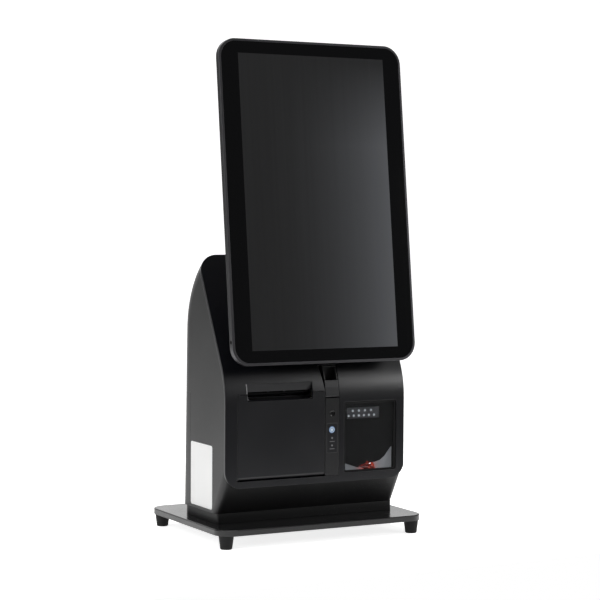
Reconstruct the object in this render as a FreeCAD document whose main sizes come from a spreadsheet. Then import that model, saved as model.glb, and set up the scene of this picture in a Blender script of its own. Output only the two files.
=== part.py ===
"""Countertop self-service ticket kiosk: a tilting portrait touch display on a desk housing.

The housing stands on a plinth and a base plate with four feet. Its front cover holds a
drop-down ticket printer door, a strip with the cover lever and two buttons, and a code
scanner window. Behind the covers are the printer mechanism with its feed gears and
ticket cutter, the scanner, the chassis, the main board and the sockets.

Frame: millimetres, +Z up, front towards -Y, origin at the bottom centre of the feet's
ground plane under the base plate. The display parts are modelled upright about the
tilt hinge line, and then leaned back.
"""

import FreeCAD, Part
import math
import os
import Sketcher

V = FreeCAD.Vector

doc = FreeCAD.newDocument("TicketKiosk")

SIZES = [
    # base plate, feet and plinth
    ("plate_width", 273.0, "base plate, side to side"),
    ("plate_depth", 205.0, "base plate, front to back"),
    ("plate_thick", 7.0, "base plate thickness"),
    ("plate_corner", 20.0, "base plate corner radius"),
    ("foot_height", 16.0, "rubber foot height"),
    ("foot_top", 18.0, "rubber foot diameter at the plate"),
    ("foot_tip", 14.0, "rubber foot diameter at the table"),
    ("foot_inset_x", 12.5, "foot centre to plate side"),
    ("foot_inset_y", 13.5, "foot centre to plate front or back"),
    ("foot_edge", 0.8, "bevel round the tip of a rubber foot"),
    ("foot_bore", 4.0, "large screw diameter"),
    ("large_head", 7.2, "large screw head diameter"),
    ("large_head_height", 2.2, "large screw head height"),
    ("plate_edge", 0.8, "bevel round the top of the base plate"),
    ("plinth_height", 11.5, "plinth height"),
    ("plinth_inset", 2.5, "plinth side, inside the housing side"),
    ("plinth_wall", 3.0, "plinth wall"),
    ("plinth_edge", 3.0, "plinth front edge radius"),
    ("post_inset", 12.0, "stand screw, in from the chassis floor's side"),
    ("post_front", 11.0, "front stand screw, behind the chassis floor's front edge"),
    ("post_rear", 17.3, "rear stand screw, ahead of the chassis floor's rear edge"),
    # housing outer form
    ("body_width", 240.4, "housing width"),
    ("face_reach", 77.8, "front face, ahead of the origin"),
    ("toe_reach", 53.0, "foot of the slanted lower front, ahead of the origin"),
    ("toe_slant", 30.0, "slant of the lower front, degrees from vertical"),
    ("toe_edge", 8.0, "edge radius of the slanted lower front"),
    ("brow_rise", 12.3, "corner of front face and slanted panel, above the door top"),
    ("brow_radius", 92.0, "radius of the brow"),
    ("panel_rise", 148.0, "top edge of the slanted panel, above its lower corner"),
    ("panel_lean", 27.66, "lean of the slanted panel, degrees from vertical"),
    ("rear_reach", 51.4, "rear face at its foot, behind the origin"),
    ("rear_draft", 1.4, "draft of the rear face, degrees"),
    ("crown_slope", 35.5, "fall of the crown behind the panel top, degrees"),
    ("crown_radius", 112.0, "radius of the rounded back"),
    ("rear_edge", 25.0, "radius of the rear side edges"),
    ("wall", 2.5, "moulded wall"),
    ("cover_thick", 3.0, "front cover thickness"),
    ("cover_edge", 1.2, "front cover outer edge radius"),
    ("bezel_rise", 31.8, "lower edge of the front cover, above the housing bottom"),
    ("bezel_corner", 20.0, "lower corner radius of the front cover"),
    ("seam", 0.4, "gap between neighbouring covers"),
    ("rear_cover_rise", 136.5, "top of the rear cover, above the housing bottom"),
    ("rear_cover_start", 16.4, "side seam of the rear cover, behind the origin"),
    ("lip", 1.5, "lip behind the rear cover's seam, thickness"),
    ("lip_under", 3.0, "lip, reach under the rear cover"),
    ("lip_hold", 6.0, "lip, reach behind the housing"),
    ("rear_screw_inset", 8.0, "rear cover screw, in from the chassis upright's side"),
    ("rear_screw_low", 25.0, "lower rear cover screws, above the socket bay"),
    ("rear_screw_high", 12.5, "upper rear cover screws, below the rear cover's top"),
    ("rear_screw_sink", 10.0, "rear cover screw seat, behind the chassis upright"),
    ("vent_width", 2.5, "rear vent width"),
    ("vent_pitch", 7.0, "rear vent pitch"),
    ("vent_rise", 18.0, "rear vents, above the socket bay"),
    ("vent_height", 34.0, "rear vent height"),
    # printer door and strip
    ("door_left", 104.0, "door left edge, left of the origin"),
    ("door_width", 114.5, "door width"),
    ("door_rise", 40.0, "door lower edge, above the housing bottom"),
    ("door_height", 100.0, "door height"),
    ("door_pin_depth", 4.8, "door hinge line, behind the face and above the lower edge"),
    ("door_pin", 3.0, "door hinge pin diameter"),
    ("slot_centre", 49.0, "ticket slot centre, left of the origin"),
    ("slot_width", 86.0, "ticket slot width"),
    ("slot_sill", 6.5, "ticket slot sill, below the door top"),
    ("scoop_height", 12.5, "recess above the ticket slot"),
    ("strip_gap", 0.8, "door to control strip"),
    ("strip_width", 18.3, "control strip width"),
    ("strip_depth", 17.8, "control strip, front to back"),
    ("strip_wall", 1.5, "control strip side wall"),
    ("channel_rise", 30.5, "top of the finger channel, above the door top"),
    ("channel_flare", 5.5, "widening of the finger channel towards its top"),
    ("lever_rise", 2.45, "lever lower end, above the start of the brow's curve"),
    ("lever_height", 20.8, "lever height"),
    ("lever_depth", 3.1, "lever hinge line behind its face"),
    ("lever_pin", 2.0, "lever pin diameter"),
    ("lever_skin", 1.0, "lever face, thickness beside its body"),
    ("lever_swing", 1.3, "room behind the lever's lower end as it tips out"),
    ("move_gap", 0.3, "gap round a moving cover or button"),
    ("run_gap", 0.05, "radial running clearance of a pin or shaft"),
    # buttons
    ("feed_rise", 73.5, "feed button, above the door's lower edge"),
    ("feed_size", 7.2, "feed button diameter"),
    ("feed_sink", 0.6, "feed button front, behind the strip's face"),
    ("power_rise", 54.2, "power button, above the door's lower edge"),
    ("power_size", 8.0, "power button diameter"),
    ("power_sink", 0.2, "power button front, behind the strip's face"),
    ("button_travel", 1.0, "button travel"),
    ("button_flange", 1.4, "flange that holds a button behind the strip, radial"),
    ("button_edge", 0.5, "bevel round a button's front"),
    ("overlay_rise", 26.7, "indicator overlay lower edge, above the door's lower edge"),
    ("overlay_height", 35.3, "indicator overlay height"),
    ("overlay_width", 14.8, "indicator overlay width"),
    ("overlay_thick", 0.6, "indicator overlay thickness"),
    ("pipe_size", 2.2, "light pipe diameter"),
    ("pipe_first", 17.7, "upper light pipe, above the overlay's lower edge"),
    ("pipe_second", 8.8, "lower light pipe, above the overlay's lower edge"),
    ("board_thick", 1.6, "circuit board thickness"),
    ("switch_size", 6.0, "tact switch side"),
    # printer mechanism
    ("paper_width", 80.0, "ticket paper width"),
    ("roll_size", 80.0, "largest paper roll diameter"),
    ("roll_gap", 2.0, "bucket radius over the roll's"),
    ("roll_behind", 53.8, "roll centre, behind the front face"),
    ("roll_rise", 83.5, "roll centre, above the housing bottom"),
    ("bucket_wall", 2.0, "roll bucket wall"),
    ("exit_height", 9.2, "ticket slot, sill to upper lip"),
    ("exit_gap", 0.9, "ticket exit lip to cutter blade"),
    ("rib_left", 12.2, "left tick rib, left of the slot centre"),
    ("rib_right", 8.8, "right tick rib, right of the slot centre"),
    ("liner_depth", 5.0, "door liner depth"),
    ("liner_rib", 1.2, "rib on the door liner, width and height"),
    ("liner_rib_pitch", 11.0, "pitch of the door liner's ribs"),
    ("frame_half", 46.0, "printer frame inner half width"),
    ("sheet", 1.5, "printer frame sheet"),
    ("frame_front", 12.4, "printer frame, behind the front face"),
    ("frame_rise", 23.5, "printer frame top, above the door top"),
    ("platen_behind", 19.8, "platen axis, behind the front face"),
    ("platen_drop", 10.5, "platen axis, below the door top"),
    ("platen_size", 12.0, "platen roller diameter"),
    ("shaft_size", 5.0, "platen shaft diameter"),
    ("bush_size", 9.0, "platen bush diameter"),
    ("ear_thick", 2.5, "door ear thickness"),
    ("head_tilt", 15.0, "thermal head, degrees from level"),
    ("head_gap", 0.3, "thermal head to platen"),
    ("head_length", 16.0, "thermal head, front to back"),
    ("head_thick", 10.0, "thermal head with heat sink"),
    ("spring_sheet", 0.5, "leaf spring thickness"),
    ("spring_width", 8.0, "leaf spring width"),
    ("spring_half", 24.0, "leaf spring middle, either side of the slot centre"),
    ("spring_front", 4.0, "leaf spring's fixed end, ahead of the platen axis"),
    ("spring_flat", 6.0, "leaf spring's flat end, behind the platen axis"),
    ("spring_bend", 9.0, "leaf spring's bend, behind the platen axis"),
    ("spring_drop", 3.0, "leaf spring's bend, below the frame top"),
    ("spring_toe", 2.0, "leaf spring's toe, ahead of the platen axis"),
    ("gear_module", 0.8, "feed gear module"),
    ("platen_teeth", 20.0, "platen gear teeth"),
    ("idler_teeth", 28.0, "idler gear teeth"),
    ("pinion_teeth", 12.0, "motor pinion teeth"),
    ("idler_angle", -10.0, "idler, seen from the platen, degrees above level"),
    ("pinion_angle", 60.0, "motor pinion, seen from the idler, degrees above level"),
    ("gear_width", 5.0, "feed gear width"),
    ("gear_gap", 1.0, "feed gear to printer frame"),
    ("idler_axle", 4.0, "idler axle diameter"),
    ("motor_shaft", 2.0, "motor shaft diameter"),
    ("motor_size", 20.0, "feed motor diameter"),
    ("motor_length", 18.0, "feed motor length"),
    # cutter
    ("blade_thick", 1.0, "cutter blade thickness"),
    ("blade_gap", 0.3, "moving blade to fixed blade"),
    ("blade_behind", 9.5, "moving blade front, behind the front face"),
    ("blade_half", 42.2, "cutter blade half width"),
    ("blade_over", 1.6, "fixed blade's edge, above the slot sill"),
    ("blade_open", 3.4, "gap between the open blades"),
    ("blade_height", 17.0, "moving blade height"),
    ("cutter_travel", 8.0, "moving blade travel"),
    ("cutter_teeth", 10.0, "cutter pinion teeth"),
    ("cutter_motor", 12.0, "cutter motor diameter"),
    ("cutter_motor_length", 24.0, "cutter motor length"),
    # scanner
    ("window_left", 36.8, "scanner window left edge, right of the origin"),
    ("window_width", 72.2, "scanner window width"),
    ("window_rise", 42.0, "scanner window lower edge, above the housing bottom"),
    ("window_height", 84.3, "scanner window height"),
    ("window_corner", 3.0, "scanner window corner radius"),
    ("window_sink", 1.0, "window frame, behind the face"),
    ("window_border", 2.6, "window frame width"),
    ("pane_thick", 1.5, "window pane thickness"),
    ("well_depth", 56.0, "scanner well depth"),
    ("well_wall", 1.6, "scanner well wall"),
    ("hood_back", 6.3, "scanner hood, behind the face"),
    ("hood_thick", 1.5, "scanner hood thickness"),
    ("led_size", 3.0, "scanner light side"),
    ("light_bar_inset", 6.7, "light opening, in from the window's left edge"),
    ("light_bar_width", 46.0, "light opening width"),
    ("light_bar_drop", 7.8, "light opening, below the window's top"),
    ("light_bar_height", 13.5, "light opening height"),
    ("snout_inset", 37.7, "tip of the scan engine's snout, in from the window's right edge"),
    ("snout_rise", 9.6, "tip of the scan engine's snout, above the window's lower edge"),
    ("snout_high", 9.5, "upper edge of the snout at the well's side, above its tip"),
    ("snout_low", 2.4, "lower edge of the snout at the well's side, above its tip"),
    ("snout_belly", 22.5, "lowest point of the snout, in from the window's left edge"),
    ("snout_sag", 5.3, "lowest point of the snout, below its tip"),
    ("engine_inset", 8.0, "scan engine, in from the window's left edge"),
    ("engine_width", 38.0, "scan engine width"),
    ("engine_low", 2.0, "scan engine, above the snout's tip"),
    ("engine_height", 28.0, "scan engine height"),
    ("tray_depth", 6.0, "reflector tray, behind the hood"),
    ("tray_rise", 26.0, "reflector tray's upper edge, above the snout's tip"),
    ("tray_sheet", 1.5, "reflector tray wall"),
    ("lens_size", 8.4, "aiming lens height"),
    ("lens_width", 14.0, "aiming lens width"),
    ("lens_middle", 4.0, "aiming lens middle, beside the snout's tip"),
    ("lens_front", 0.8, "aiming lens front, ahead of the hood"),
    # chassis and electronics
    ("chassis_thick", 2.0, "chassis sheet"),
    ("chassis_half", 70.0, "chassis upright half width"),
    ("floor_half", 100.0, "chassis floor half width"),
    ("seat_below", 40.0, "chassis seat's lower edge, below the tilt hinge line"),
    ("seat_above", 22.0, "chassis seat's upper edge, above the tilt hinge line"),
    ("shelf_below", 5.0, "chassis shelf, below the tilt hinge line"),
    ("board_half", 50.0, "main board half width"),
    ("board_rise", 72.0, "main board lower edge, above the housing bottom"),
    ("board_height", 110.0, "main board height"),
    ("heat_sink", 40.0, "heat sink side"),
    ("standoff", 5.0, "board standoff height"),
    ("socket_bay_half", 66.0, "socket bay half width"),
    ("socket_bay_rise", 12.0, "socket bay lower edge, above the housing bottom"),
    ("socket_bay_height", 38.0, "socket bay height"),
    ("socket_pitch", 30.0, "rear sockets, pitch"),
    ("socket_plate_over", 8.0, "socket plate, beyond the bay's sides and top"),
    ("socket_plate_foot", 12.0, "socket plate's foot, front to back"),
    ("socket_plate_sheet", 2.0, "socket plate thickness"),
    # display head, about the tilt hinge line
    ("hinge_rise", 113.2, "tilt hinge line, above the slanted panel's lower corner"),
    ("hinge_standoff", 20.0, "tilt hinge line, off the slanted panel"),
    ("head_lean", 6.76, "display lean at rest, degrees"),
    ("glass_reach", 49.6, "glass front, ahead of the hinge line"),
    ("head_rise", 92.6, "display centre, above the hinge line"),
    ("head_width", 243.0, "display width"),
    ("head_height", 378.0, "display height"),
    ("head_corner", 22.0, "display corner radius"),
    ("rim_width", 3.0, "display rim beside the glass"),
    ("rim_depth", 8.0, "display frame depth"),
    ("rim_edge", 0.5, "bevel round the display frame"),
    ("rim_ledge", 6.0, "glass ledge width"),
    ("glass_thick", 3.0, "cover glass thickness"),
    ("gasket_thick", 0.5, "glass gasket thickness"),
    ("lcd_width", 223.8, "display panel width"),
    ("lcd_height", 359.5, "display panel height"),
    ("lcd_thick", 5.0, "display panel thickness"),
    ("driver_half", 60.0, "display driver box half width"),
    ("driver_height", 90.0, "display driver box height"),
    ("driver_rise", 25.0, "display driver box middle, above the display centre"),
    ("driver_thick", 4.0, "display driver box thickness"),
    ("back_depth", 26.0, "back cover depth"),
    ("back_inset", 24.5, "back cover, edge to flat back"),
    ("back_corner", 12.0, "back cover corner radius at its flat back"),
    ("back_seam", 2.5, "back cover, in from the display frame's edge"),
    ("back_screw_inset", 40.0, "back cover screw, in from the display's sides and ends"),
    ("back_vent", 2.4, "back cover vent height"),
    ("back_vent_half", 30.0, "back cover vent half width"),
    ("back_vent_rise", 100.0, "lowest back cover vent, above the display centre"),
    ("back_vent_pitch", 6.0, "back cover vent pitch"),
    ("hinge_pin", 8.0, "tilt hinge pin diameter"),
    ("lug_radius", 8.0, "hinge lug radius"),
    ("lug_thick", 8.0, "hinge lug thickness"),
    ("lug_gap", 2.4, "hinge lug to lug, with the friction washer between"),
    ("bracket_lug", 17.6, "bracket lug inner face, from the middle"),
    ("hinge_plate_half", 45.0, "hinge plate half width"),
    ("arm_plate", 3.0, "hinge arm plate thickness"),
    ("arm_rise", 35.0, "hinge arm half height"),
    ("arm_screw_half", 14.0, "hinge arm screw, from the middle"),
    ("plate_hole_inset", 9.0, "hinge plate screw, in from the plate's edge"),
    ("post_radius", 4.6, "screw post radius in the back cover"),
    ("bracket_plate", 4.0, "hinge bracket plate thickness"),
    ("bracket_half", 40.0, "hinge bracket half width"),
    ("bracket_rise", 28.0, "hinge bracket half height"),
    ("screw_size", 3.0, "small screw diameter"),
    ("screw_head", 5.6, "small screw head diameter"),
    ("screw_head_height", 1.8, "small screw head height"),
]


class Size:
    """A length or an angle: its formula in the sheet's names, and its value now."""

    def __init__(self, formula, value):
        self.formula = formula
        self.value = value

    @staticmethod
    def of(thing):
        return thing if isinstance(thing, Size) else Size(f"({thing})", float(thing))

    def __add__(self, other):
        other = Size.of(other)
        return Size(f"({self.formula} + {other.formula})", self.value + other.value)

    def __sub__(self, other):
        other = Size.of(other)
        return Size(f"({self.formula} - {other.formula})", self.value - other.value)

    def __mul__(self, other):
        other = Size.of(other)
        return Size(f"({self.formula} * {other.formula})", self.value * other.value)

    def __truediv__(self, other):
        other = Size.of(other)
        return Size(f"({self.formula} / {other.formula})", self.value / other.value)

    def __radd__(self, other):
        return Size.of(other) + self

    def __rsub__(self, other):
        return Size.of(other) - self

    def __rmul__(self, other):
        return Size.of(other) * self

    def __rtruediv__(self, other):
        return Size.of(other) / self

    def __neg__(self):
        return Size(f"(0 - {self.formula})", -self.value)


def tan(angle):
    return Size(f"tan({angle.formula} * 1 deg)", math.tan(math.radians(angle.value)))


def sin(angle):
    return Size(f"sin({angle.formula} * 1 deg)", math.sin(math.radians(angle.value)))


def cos(angle):
    return Size(f"cos({angle.formula} * 1 deg)", math.cos(math.radians(angle.value)))


def root(size):
    return Size(f"sqrt({size.formula})", math.sqrt(size.value))


class SizeSheet:
    """The spreadsheet of driving sizes; each alias reads as a Size."""

    def __init__(self, rows):
        sheet = doc.addObject("Spreadsheet::Sheet", "Sizes")
        for row, (alias, value, meaning) in enumerate(rows, start=1):
            sheet.set(f"A{row}", alias)
            sheet.set(f"B{row}", str(value))
            sheet.set(f"C{row}", meaning)
            sheet.setAlias(f"B{row}", alias)
            setattr(self, alias, Size(f"Sizes.{alias}", value))


s = SizeSheet(SIZES)
doc.recompute()


def bind(thing, name, size):
    """Tie one property of an object to a formula."""
    thing.setExpression(name, Size.of(size).formula)


# ---------------------------------------------------------------- outlines
# An outline adds its lines to a sketch and ties them to the sheet.


class Polygon:
    """A closed outline of straight lines through points (across, up)."""

    def __init__(self, *points):
        self.points = [(Size.of(x), Size.of(y)) for x, y in points]

    def draw(self, sketch):
        first = sketch.GeometryCount
        count = len(self.points)
        at = [V(x.value, y.value, 0) for x, y in self.points]
        lines = [Part.LineSegment(at[i], at[(i + 1) % count]) for i in range(count)]
        sketch.addGeometry(lines)
        for i in range(count):
            follower = first + (i + 1) % count
            sketch.addConstraint(Sketcher.Constraint("Coincident", first + i, 2, follower, 1))
        for i, (x, y) in enumerate(self.points):
            measure(sketch, "DistanceX", first + i, x)
            measure(sketch, "DistanceY", first + i, y)


class Circle:
    """A round outline about (across, up)."""

    def __init__(self, across, up, radius):
        self.across = Size.of(across)
        self.up = Size.of(up)
        self.radius = Size.of(radius)

    def draw(self, sketch):
        middle = V(self.across.value, self.up.value, 0)
        index = sketch.addGeometry(Part.Circle(middle, V(0, 0, 1), self.radius.value))
        measure(sketch, "DistanceX", index, self.across, point=3)
        measure(sketch, "DistanceY", index, self.up, point=3)
        radius = Sketcher.Constraint("Radius", index, self.radius.value)
        bind(sketch, f"Constraints[{sketch.addConstraint(radius)}]", self.radius)


class Rounded:
    """A rectangle with round corners, tangent all the way."""

    def __init__(self, left, low, right, high, radius):
        self.sides = [Size.of(side) for side in (left, low, right, high)]
        self.radius = Size.of(radius)

    def draw(self, sketch):
        left, low, right, high = (side.value for side in self.sides)
        r = self.radius.value
        first = sketch.GeometryCount
        ends = [
            ((left + r, low), (right - r, low)),
            ((right, low + r), (right, high - r)),
            ((right - r, high), (left + r, high)),
            ((left, high - r), (left, low + r)),
        ]
        middles = [(right - r, low + r), (right - r, high - r), (left + r, high - r), (left + r, low + r)]
        for start, end in ends:
            sketch.addGeometry(Part.LineSegment(V(*start, 0), V(*end, 0)))
        for turn, middle in enumerate(middles):
            start = math.radians(-90 + 90 * turn)
            circle = Part.Circle(V(*middle, 0), V(0, 0, 1), r)
            sketch.addGeometry(Part.ArcOfCircle(circle, start, start + math.pi / 2))
        for i in range(4):
            arc = first + 4 + i
            sketch.addConstraint(Sketcher.Constraint("Tangent", first + i, 2, arc, 1))
            sketch.addConstraint(Sketcher.Constraint("Tangent", arc, 2, first + (i + 1) % 4, 1))
            direction = "Horizontal" if i % 2 == 0 else "Vertical"
            sketch.addConstraint(Sketcher.Constraint(direction, first + i))
        for i in range(1, 4):
            sketch.addConstraint(Sketcher.Constraint("Equal", first + 4, first + 4 + i))
        radius = Sketcher.Constraint("Radius", first + 4, r)
        bind(sketch, f"Constraints[{sketch.addConstraint(radius)}]", self.radius)
        measure(sketch, "DistanceX", first + 3, self.sides[0])
        measure(sketch, "DistanceY", first, self.sides[1])
        measure(sketch, "DistanceX", first + 1, self.sides[2])
        measure(sketch, "DistanceY", first + 2, self.sides[3])


def measure(sketch, kind, line, size, point=1):
    """Hold a line's start, or a circle's centre, at a distance from the sketch origin."""
    index = sketch.addConstraint(Sketcher.Constraint(kind, -1, 1, line, point, size.value))
    bind(sketch, f"Constraints[{index}]", size)


def box(left, low, right, high):
    return Polygon((left, low), (right, low), (right, high), (left, high))


# ---------------------------------------------------------------- pieces


def edge_span(edge):
    """Each axis's low and high value over an edge."""
    points = edge.discretize(9)
    return {axis: (min(getattr(p, axis) for p in points), max(getattr(p, axis) for p in points))
            for axis in "xyz"}


def value(size):
    return Size.of(size).value


class Edges:
    """Picks edges by the box they lie in, and by the axis that straight ones run along."""

    def __init__(self, along=None, **limits):
        self.along = along
        self.limits = limits

    def names(self, shape):
        found = []
        for index, edge in enumerate(shape.Edges, start=1):
            span = edge_span(edge)
            if self.along and not self.runs_along(span):
                continue
            if all(self.inside(span[axis], limit) for axis, limit in self.limits.items()):
                found.append(f"Edge{index}")
        if not found:
            raise ValueError(f"no edge along {self.along} within {self.limits}")
        return found

    def runs_along(self, span):
        small = 1e-4
        return all((high - low > small) == (axis == self.along) for axis, (low, high) in span.items())

    @staticmethod
    def inside(span, limit):
        low, high = limit if isinstance(limit, tuple) else (limit, limit)
        slack = 0.02
        return span[0] >= value(low) - slack and span[1] <= value(high) + slack


class Piece:
    """A sub-part: a PartDesign body built up from extrusions, turnings, fillets and patterns.

    A plane is "XY", "XZ" or "YZ"; low and high are measured along its third axis.
    """

    facing = {"XY": 1, "XZ": -1, "YZ": 1}

    def __init__(self, label):
        self.body = doc.addObject("PartDesign::Body", label)
        self.body.Label = label

    @property
    def result(self):
        return self.body

    def sketch(self, plane, level, outlines):
        sketch = self.body.newObject("Sketcher::SketchObject", "outline")
        planes = self.body.Origin.OriginFeatures
        sketch.AttachmentSupport = [(next(p for p in planes if p.Role == f"{plane}_Plane"), "")]
        sketch.MapMode = "FlatFace"
        bind(sketch, "AttachmentOffset.Base.z", Size.of(level) * self.facing[plane])
        for outline in outlines:
            outline.draw(sketch)
        return sketch

    def add(self, plane, outline, low, high):
        outlines = outline if isinstance(outline, list) else [outline]
        start = low if self.facing[plane] > 0 else high
        pad = self.body.newObject("PartDesign::Pad", "pad")
        pad.Profile = self.sketch(plane, start, outlines)
        bind(pad, "Length", Size.of(high) - low)
        self.body.Tip = pad
        return pad

    def cut(self, plane, outline, low, high):
        outlines = outline if isinstance(outline, list) else [outline]
        start = high if self.facing[plane] > 0 else low
        before = self.volume()
        pocket = self.body.newObject("PartDesign::Pocket", "pocket")
        pocket.Profile = self.sketch(plane, start, outlines)
        bind(pocket, "Length", Size.of(high) - low)
        self.body.Tip = pocket
        if self.volume() >= before:
            raise ValueError(f"a cut in {self.body.Label} removes nothing")
        return pocket

    def volume(self):
        doc.recompute()
        return self.body.Shape.Volume

    def round(self, radius, *picks):
        return self.dress("PartDesign::Fillet", "Radius", radius, picks)

    def bevel(self, size, *picks):
        return self.dress("PartDesign::Chamfer", "Size", size, picks)

    def dress(self, kind, name, size, picks):
        doc.recompute()
        base = self.body.Tip
        feature = self.body.newObject(kind, "dress")
        feature.Base = (base, sorted({edge for pick in picks for edge in pick.names(base.Shape)}))
        bind(feature, name, size)
        self.body.Tip = feature
        return feature

    def loft(self, plane, sections, taking=False):
        """Add, or take away, a loft through (outline, level) sections."""
        kind = "PartDesign::SubtractiveLoft" if taking else "PartDesign::AdditiveLoft"
        sketches = [self.sketch(plane, level, [outline]) for outline, level in sections]
        loft = self.body.newObject(kind, "loft")
        loft.Profile = sketches[0]
        loft.Sections = sketches[1:]
        loft.Ruled = True
        self.body.Tip = loft
        return loft

    def turn(self, outline, plane="XZ", axis="V_Axis"):
        """Turn an outline once round an axis of its plane."""
        sketch = self.sketch(plane, 0, [outline])
        revolution = self.body.newObject("PartDesign::Revolution", "turning")
        revolution.Profile = sketch
        revolution.ReferenceAxis = (sketch, [axis])
        revolution.Angle = 360
        self.body.Tip = revolution
        return revolution

    def row(self, feature, axis, pitch, count):
        """Repeat a feature count times along an axis."""
        pattern = self.body.newObject("PartDesign::LinearPattern", "row")
        pattern.Originals = [feature]
        axes = self.body.Origin.OriginFeatures
        pattern.Direction = (next(a for a in axes if a.Role == f"{axis}_Axis"), [""])
        pattern.Occurrences = count
        bind(pattern, "Length", Size.of(pitch) * (count - 1))
        self.body.Tip = pattern
        return pattern

    def ring(self, feature, axis, count):
        """Repeat a feature count times round an axis through the origin."""
        pattern = self.body.newObject("PartDesign::PolarPattern", "ring")
        pattern.Originals = [feature]
        axes = self.body.Origin.OriginFeatures
        pattern.Axis = (next(a for a in axes if a.Role == f"{axis}_Axis"), [""])
        pattern.Angle = 360
        bind(pattern, "Occurrences", count)
        self.body.Tip = pattern
        return pattern

    def place(self, x=0, y=0, z=0, axis=(-1, 0, 0), angle=0):
        """Turn the piece about its own origin, and move that origin to (x, y, z)."""
        place(self.body, x, y, z, axis, angle)
        return self


def place(thing, x=0, y=0, z=0, axis=(-1, 0, 0), angle=0):
    start = Size.of(angle).value or 1.0
    thing.Placement = FreeCAD.Placement(V(0, 0, 0), FreeCAD.Rotation(V(*axis), start))
    bind(thing, "Placement.Base.x", x)
    bind(thing, "Placement.Base.y", y)
    bind(thing, "Placement.Base.z", z)
    bind(thing, "Placement.Rotation.Angle", angle)


def part_of(thing):
    return thing.result if isinstance(thing, Piece) else thing


def less(label, base, tool):
    """The base without the tool."""
    result = doc.addObject("Part::Cut", label)
    result.Label = label
    result.Base = part_of(base)
    result.Tool = part_of(tool)
    return result


def both(label, first, second):
    """What two solids share."""
    result = doc.addObject("Part::Common", label)
    result.Label = label
    result.Base = part_of(first)
    result.Tool = part_of(second)
    return result


def joined(label, *things):
    """Several solids made one."""
    result = doc.addObject("Part::MultiFuse", label)
    result.Label = label
    result.Shapes = [part_of(thing) for thing in things]
    return result


def group(label, things):
    """Separate solids kept in one sub-part."""
    result = doc.addObject("Part::Compound", label)
    result.Label = label
    result.Links = [part_of(thing) for thing in things]
    return result


made = []


def keep(*things):
    """Note finished sub-parts."""
    made.extend(part_of(thing) for thing in things)


def pin_along_x(label, size, left, right, y, z):
    """A round pin from side to side."""
    pin = doc.addObject("Part::Cylinder", label)
    bind(pin, "Radius", size / 2)
    bind(pin, "Height", Size.of(right) - left)
    place(pin, left, y, z, (0, 1, 0), 90)
    return pin


# ---------------------------------------------------------------- shared heights and faces

plate_low = s.foot_height
plate_high = s.foot_height + s.plate_thick
floor = plate_high + s.plinth_height
face = -s.face_reach
half = s.body_width / 2
past = 5  # how far a cutting block runs past what it cuts
door_low = floor + s.door_rise
door_high = door_low + s.door_height
brow = door_high + s.brow_rise
brow_start = brow - s.brow_radius * tan(s.panel_lean / 2)
panel_top = brow + s.panel_rise
floor_front = 8 - s.toe_reach
floor_back = s.rear_reach - s.wall - 3.6


def panel_y(z, inset=0):
    """The slanted panel's face at a height, or a face inset behind it."""
    return face + (z - brow) * tan(s.panel_lean) + inset / cos(s.panel_lean)


def toe_y(z, inset=0):
    """The slanted lower front at a height."""
    return -s.toe_reach - (z - floor) * tan(s.toe_slant) + inset / cos(s.toe_slant)


def toe_z(y, inset=0):
    return floor + (-s.toe_reach - y + inset / cos(s.toe_slant)) / tan(s.toe_slant)


def brow_y(z, inset=0):
    """The rounded brow at a height between the front face and the slanted panel."""
    radius = s.brow_radius - inset
    rise = z - brow_start
    return face + s.brow_radius - root(radius * radius - rise * rise)


def rear_y(z, inset=0):
    """The rear face at a height."""
    return s.rear_reach - (z - floor) * tan(s.rear_draft) - inset / cos(s.rear_draft)


# ---------------------------------------------------------------- stand


def foot_spots():
    """Foot centres by corner name."""
    across = s.plate_width / 2 - s.foot_inset_x
    along = s.plate_depth / 2 - s.foot_inset_y
    return {
        "front_left": (-across, -along),
        "front_right": (across, -along),
        "rear_left": (-across, along),
        "rear_right": (across, along),
    }


def plinth_screw_spots():
    across = s.floor_half - s.post_inset
    return [(x, y) for x in (-across, across) for y in (floor_front + s.post_front, floor_back - s.post_rear)]


foot_seat = s.foot_height / 3
foot_screw_end = plate_high - 1
plinth_screw_seat = plate_low + s.plate_thick / 2
large_screw = (s.foot_bore, s.large_head, s.large_head_height)
small_screw = (s.screw_size, s.screw_head, s.screw_head_height)


def make_base_plate():
    plate = Piece("base_plate")
    side = s.plate_width / 2
    end = s.plate_depth / 2
    plate.add("XY", Rounded(-side, -end, side, end, s.plate_corner), plate_low, plate_high)
    plate.bevel(s.plate_edge, Edges(z=plate_high))
    holes = [Circle(x, y, s.foot_bore / 2) for x, y in foot_spots().values()]
    plate.cut("XY", holes, plate_low, foot_screw_end)
    screws = plinth_screw_spots()
    plate.cut("XY", [Circle(x, y, s.foot_bore / 2) for x, y in screws], plate_low, plate_high)
    plate.cut("XY", [Circle(x, y, s.foot_bore) for x, y in screws], plate_low, plinth_screw_seat)
    keep(plate)


def make_feet():
    """Tapered rubber feet, each bored for its screw; returns the screws."""
    feet = []
    for corner, (x, y) in foot_spots().items():
        foot = Piece(f"foot_{corner}")
        bore = s.foot_bore / 2
        foot.turn(Polygon(
            (bore, foot_seat),
            (s.foot_bore, foot_seat),
            (s.foot_bore, 0),
            (s.foot_tip / 2 - s.foot_edge, 0),
            (s.foot_tip / 2, s.foot_edge),
            (s.foot_top / 2, s.foot_height),
            (bore, s.foot_height),
        ))
        foot.place(x, y)
        feet.append(foot)
    keep(group("feet", feet))
    return [
        screw_at(f"foot_screw_{corner}", (x, y, foot_seat), 180, large_screw, foot_screw_end - foot_seat)
        for corner, (x, y) in foot_spots().items()
    ]


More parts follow.
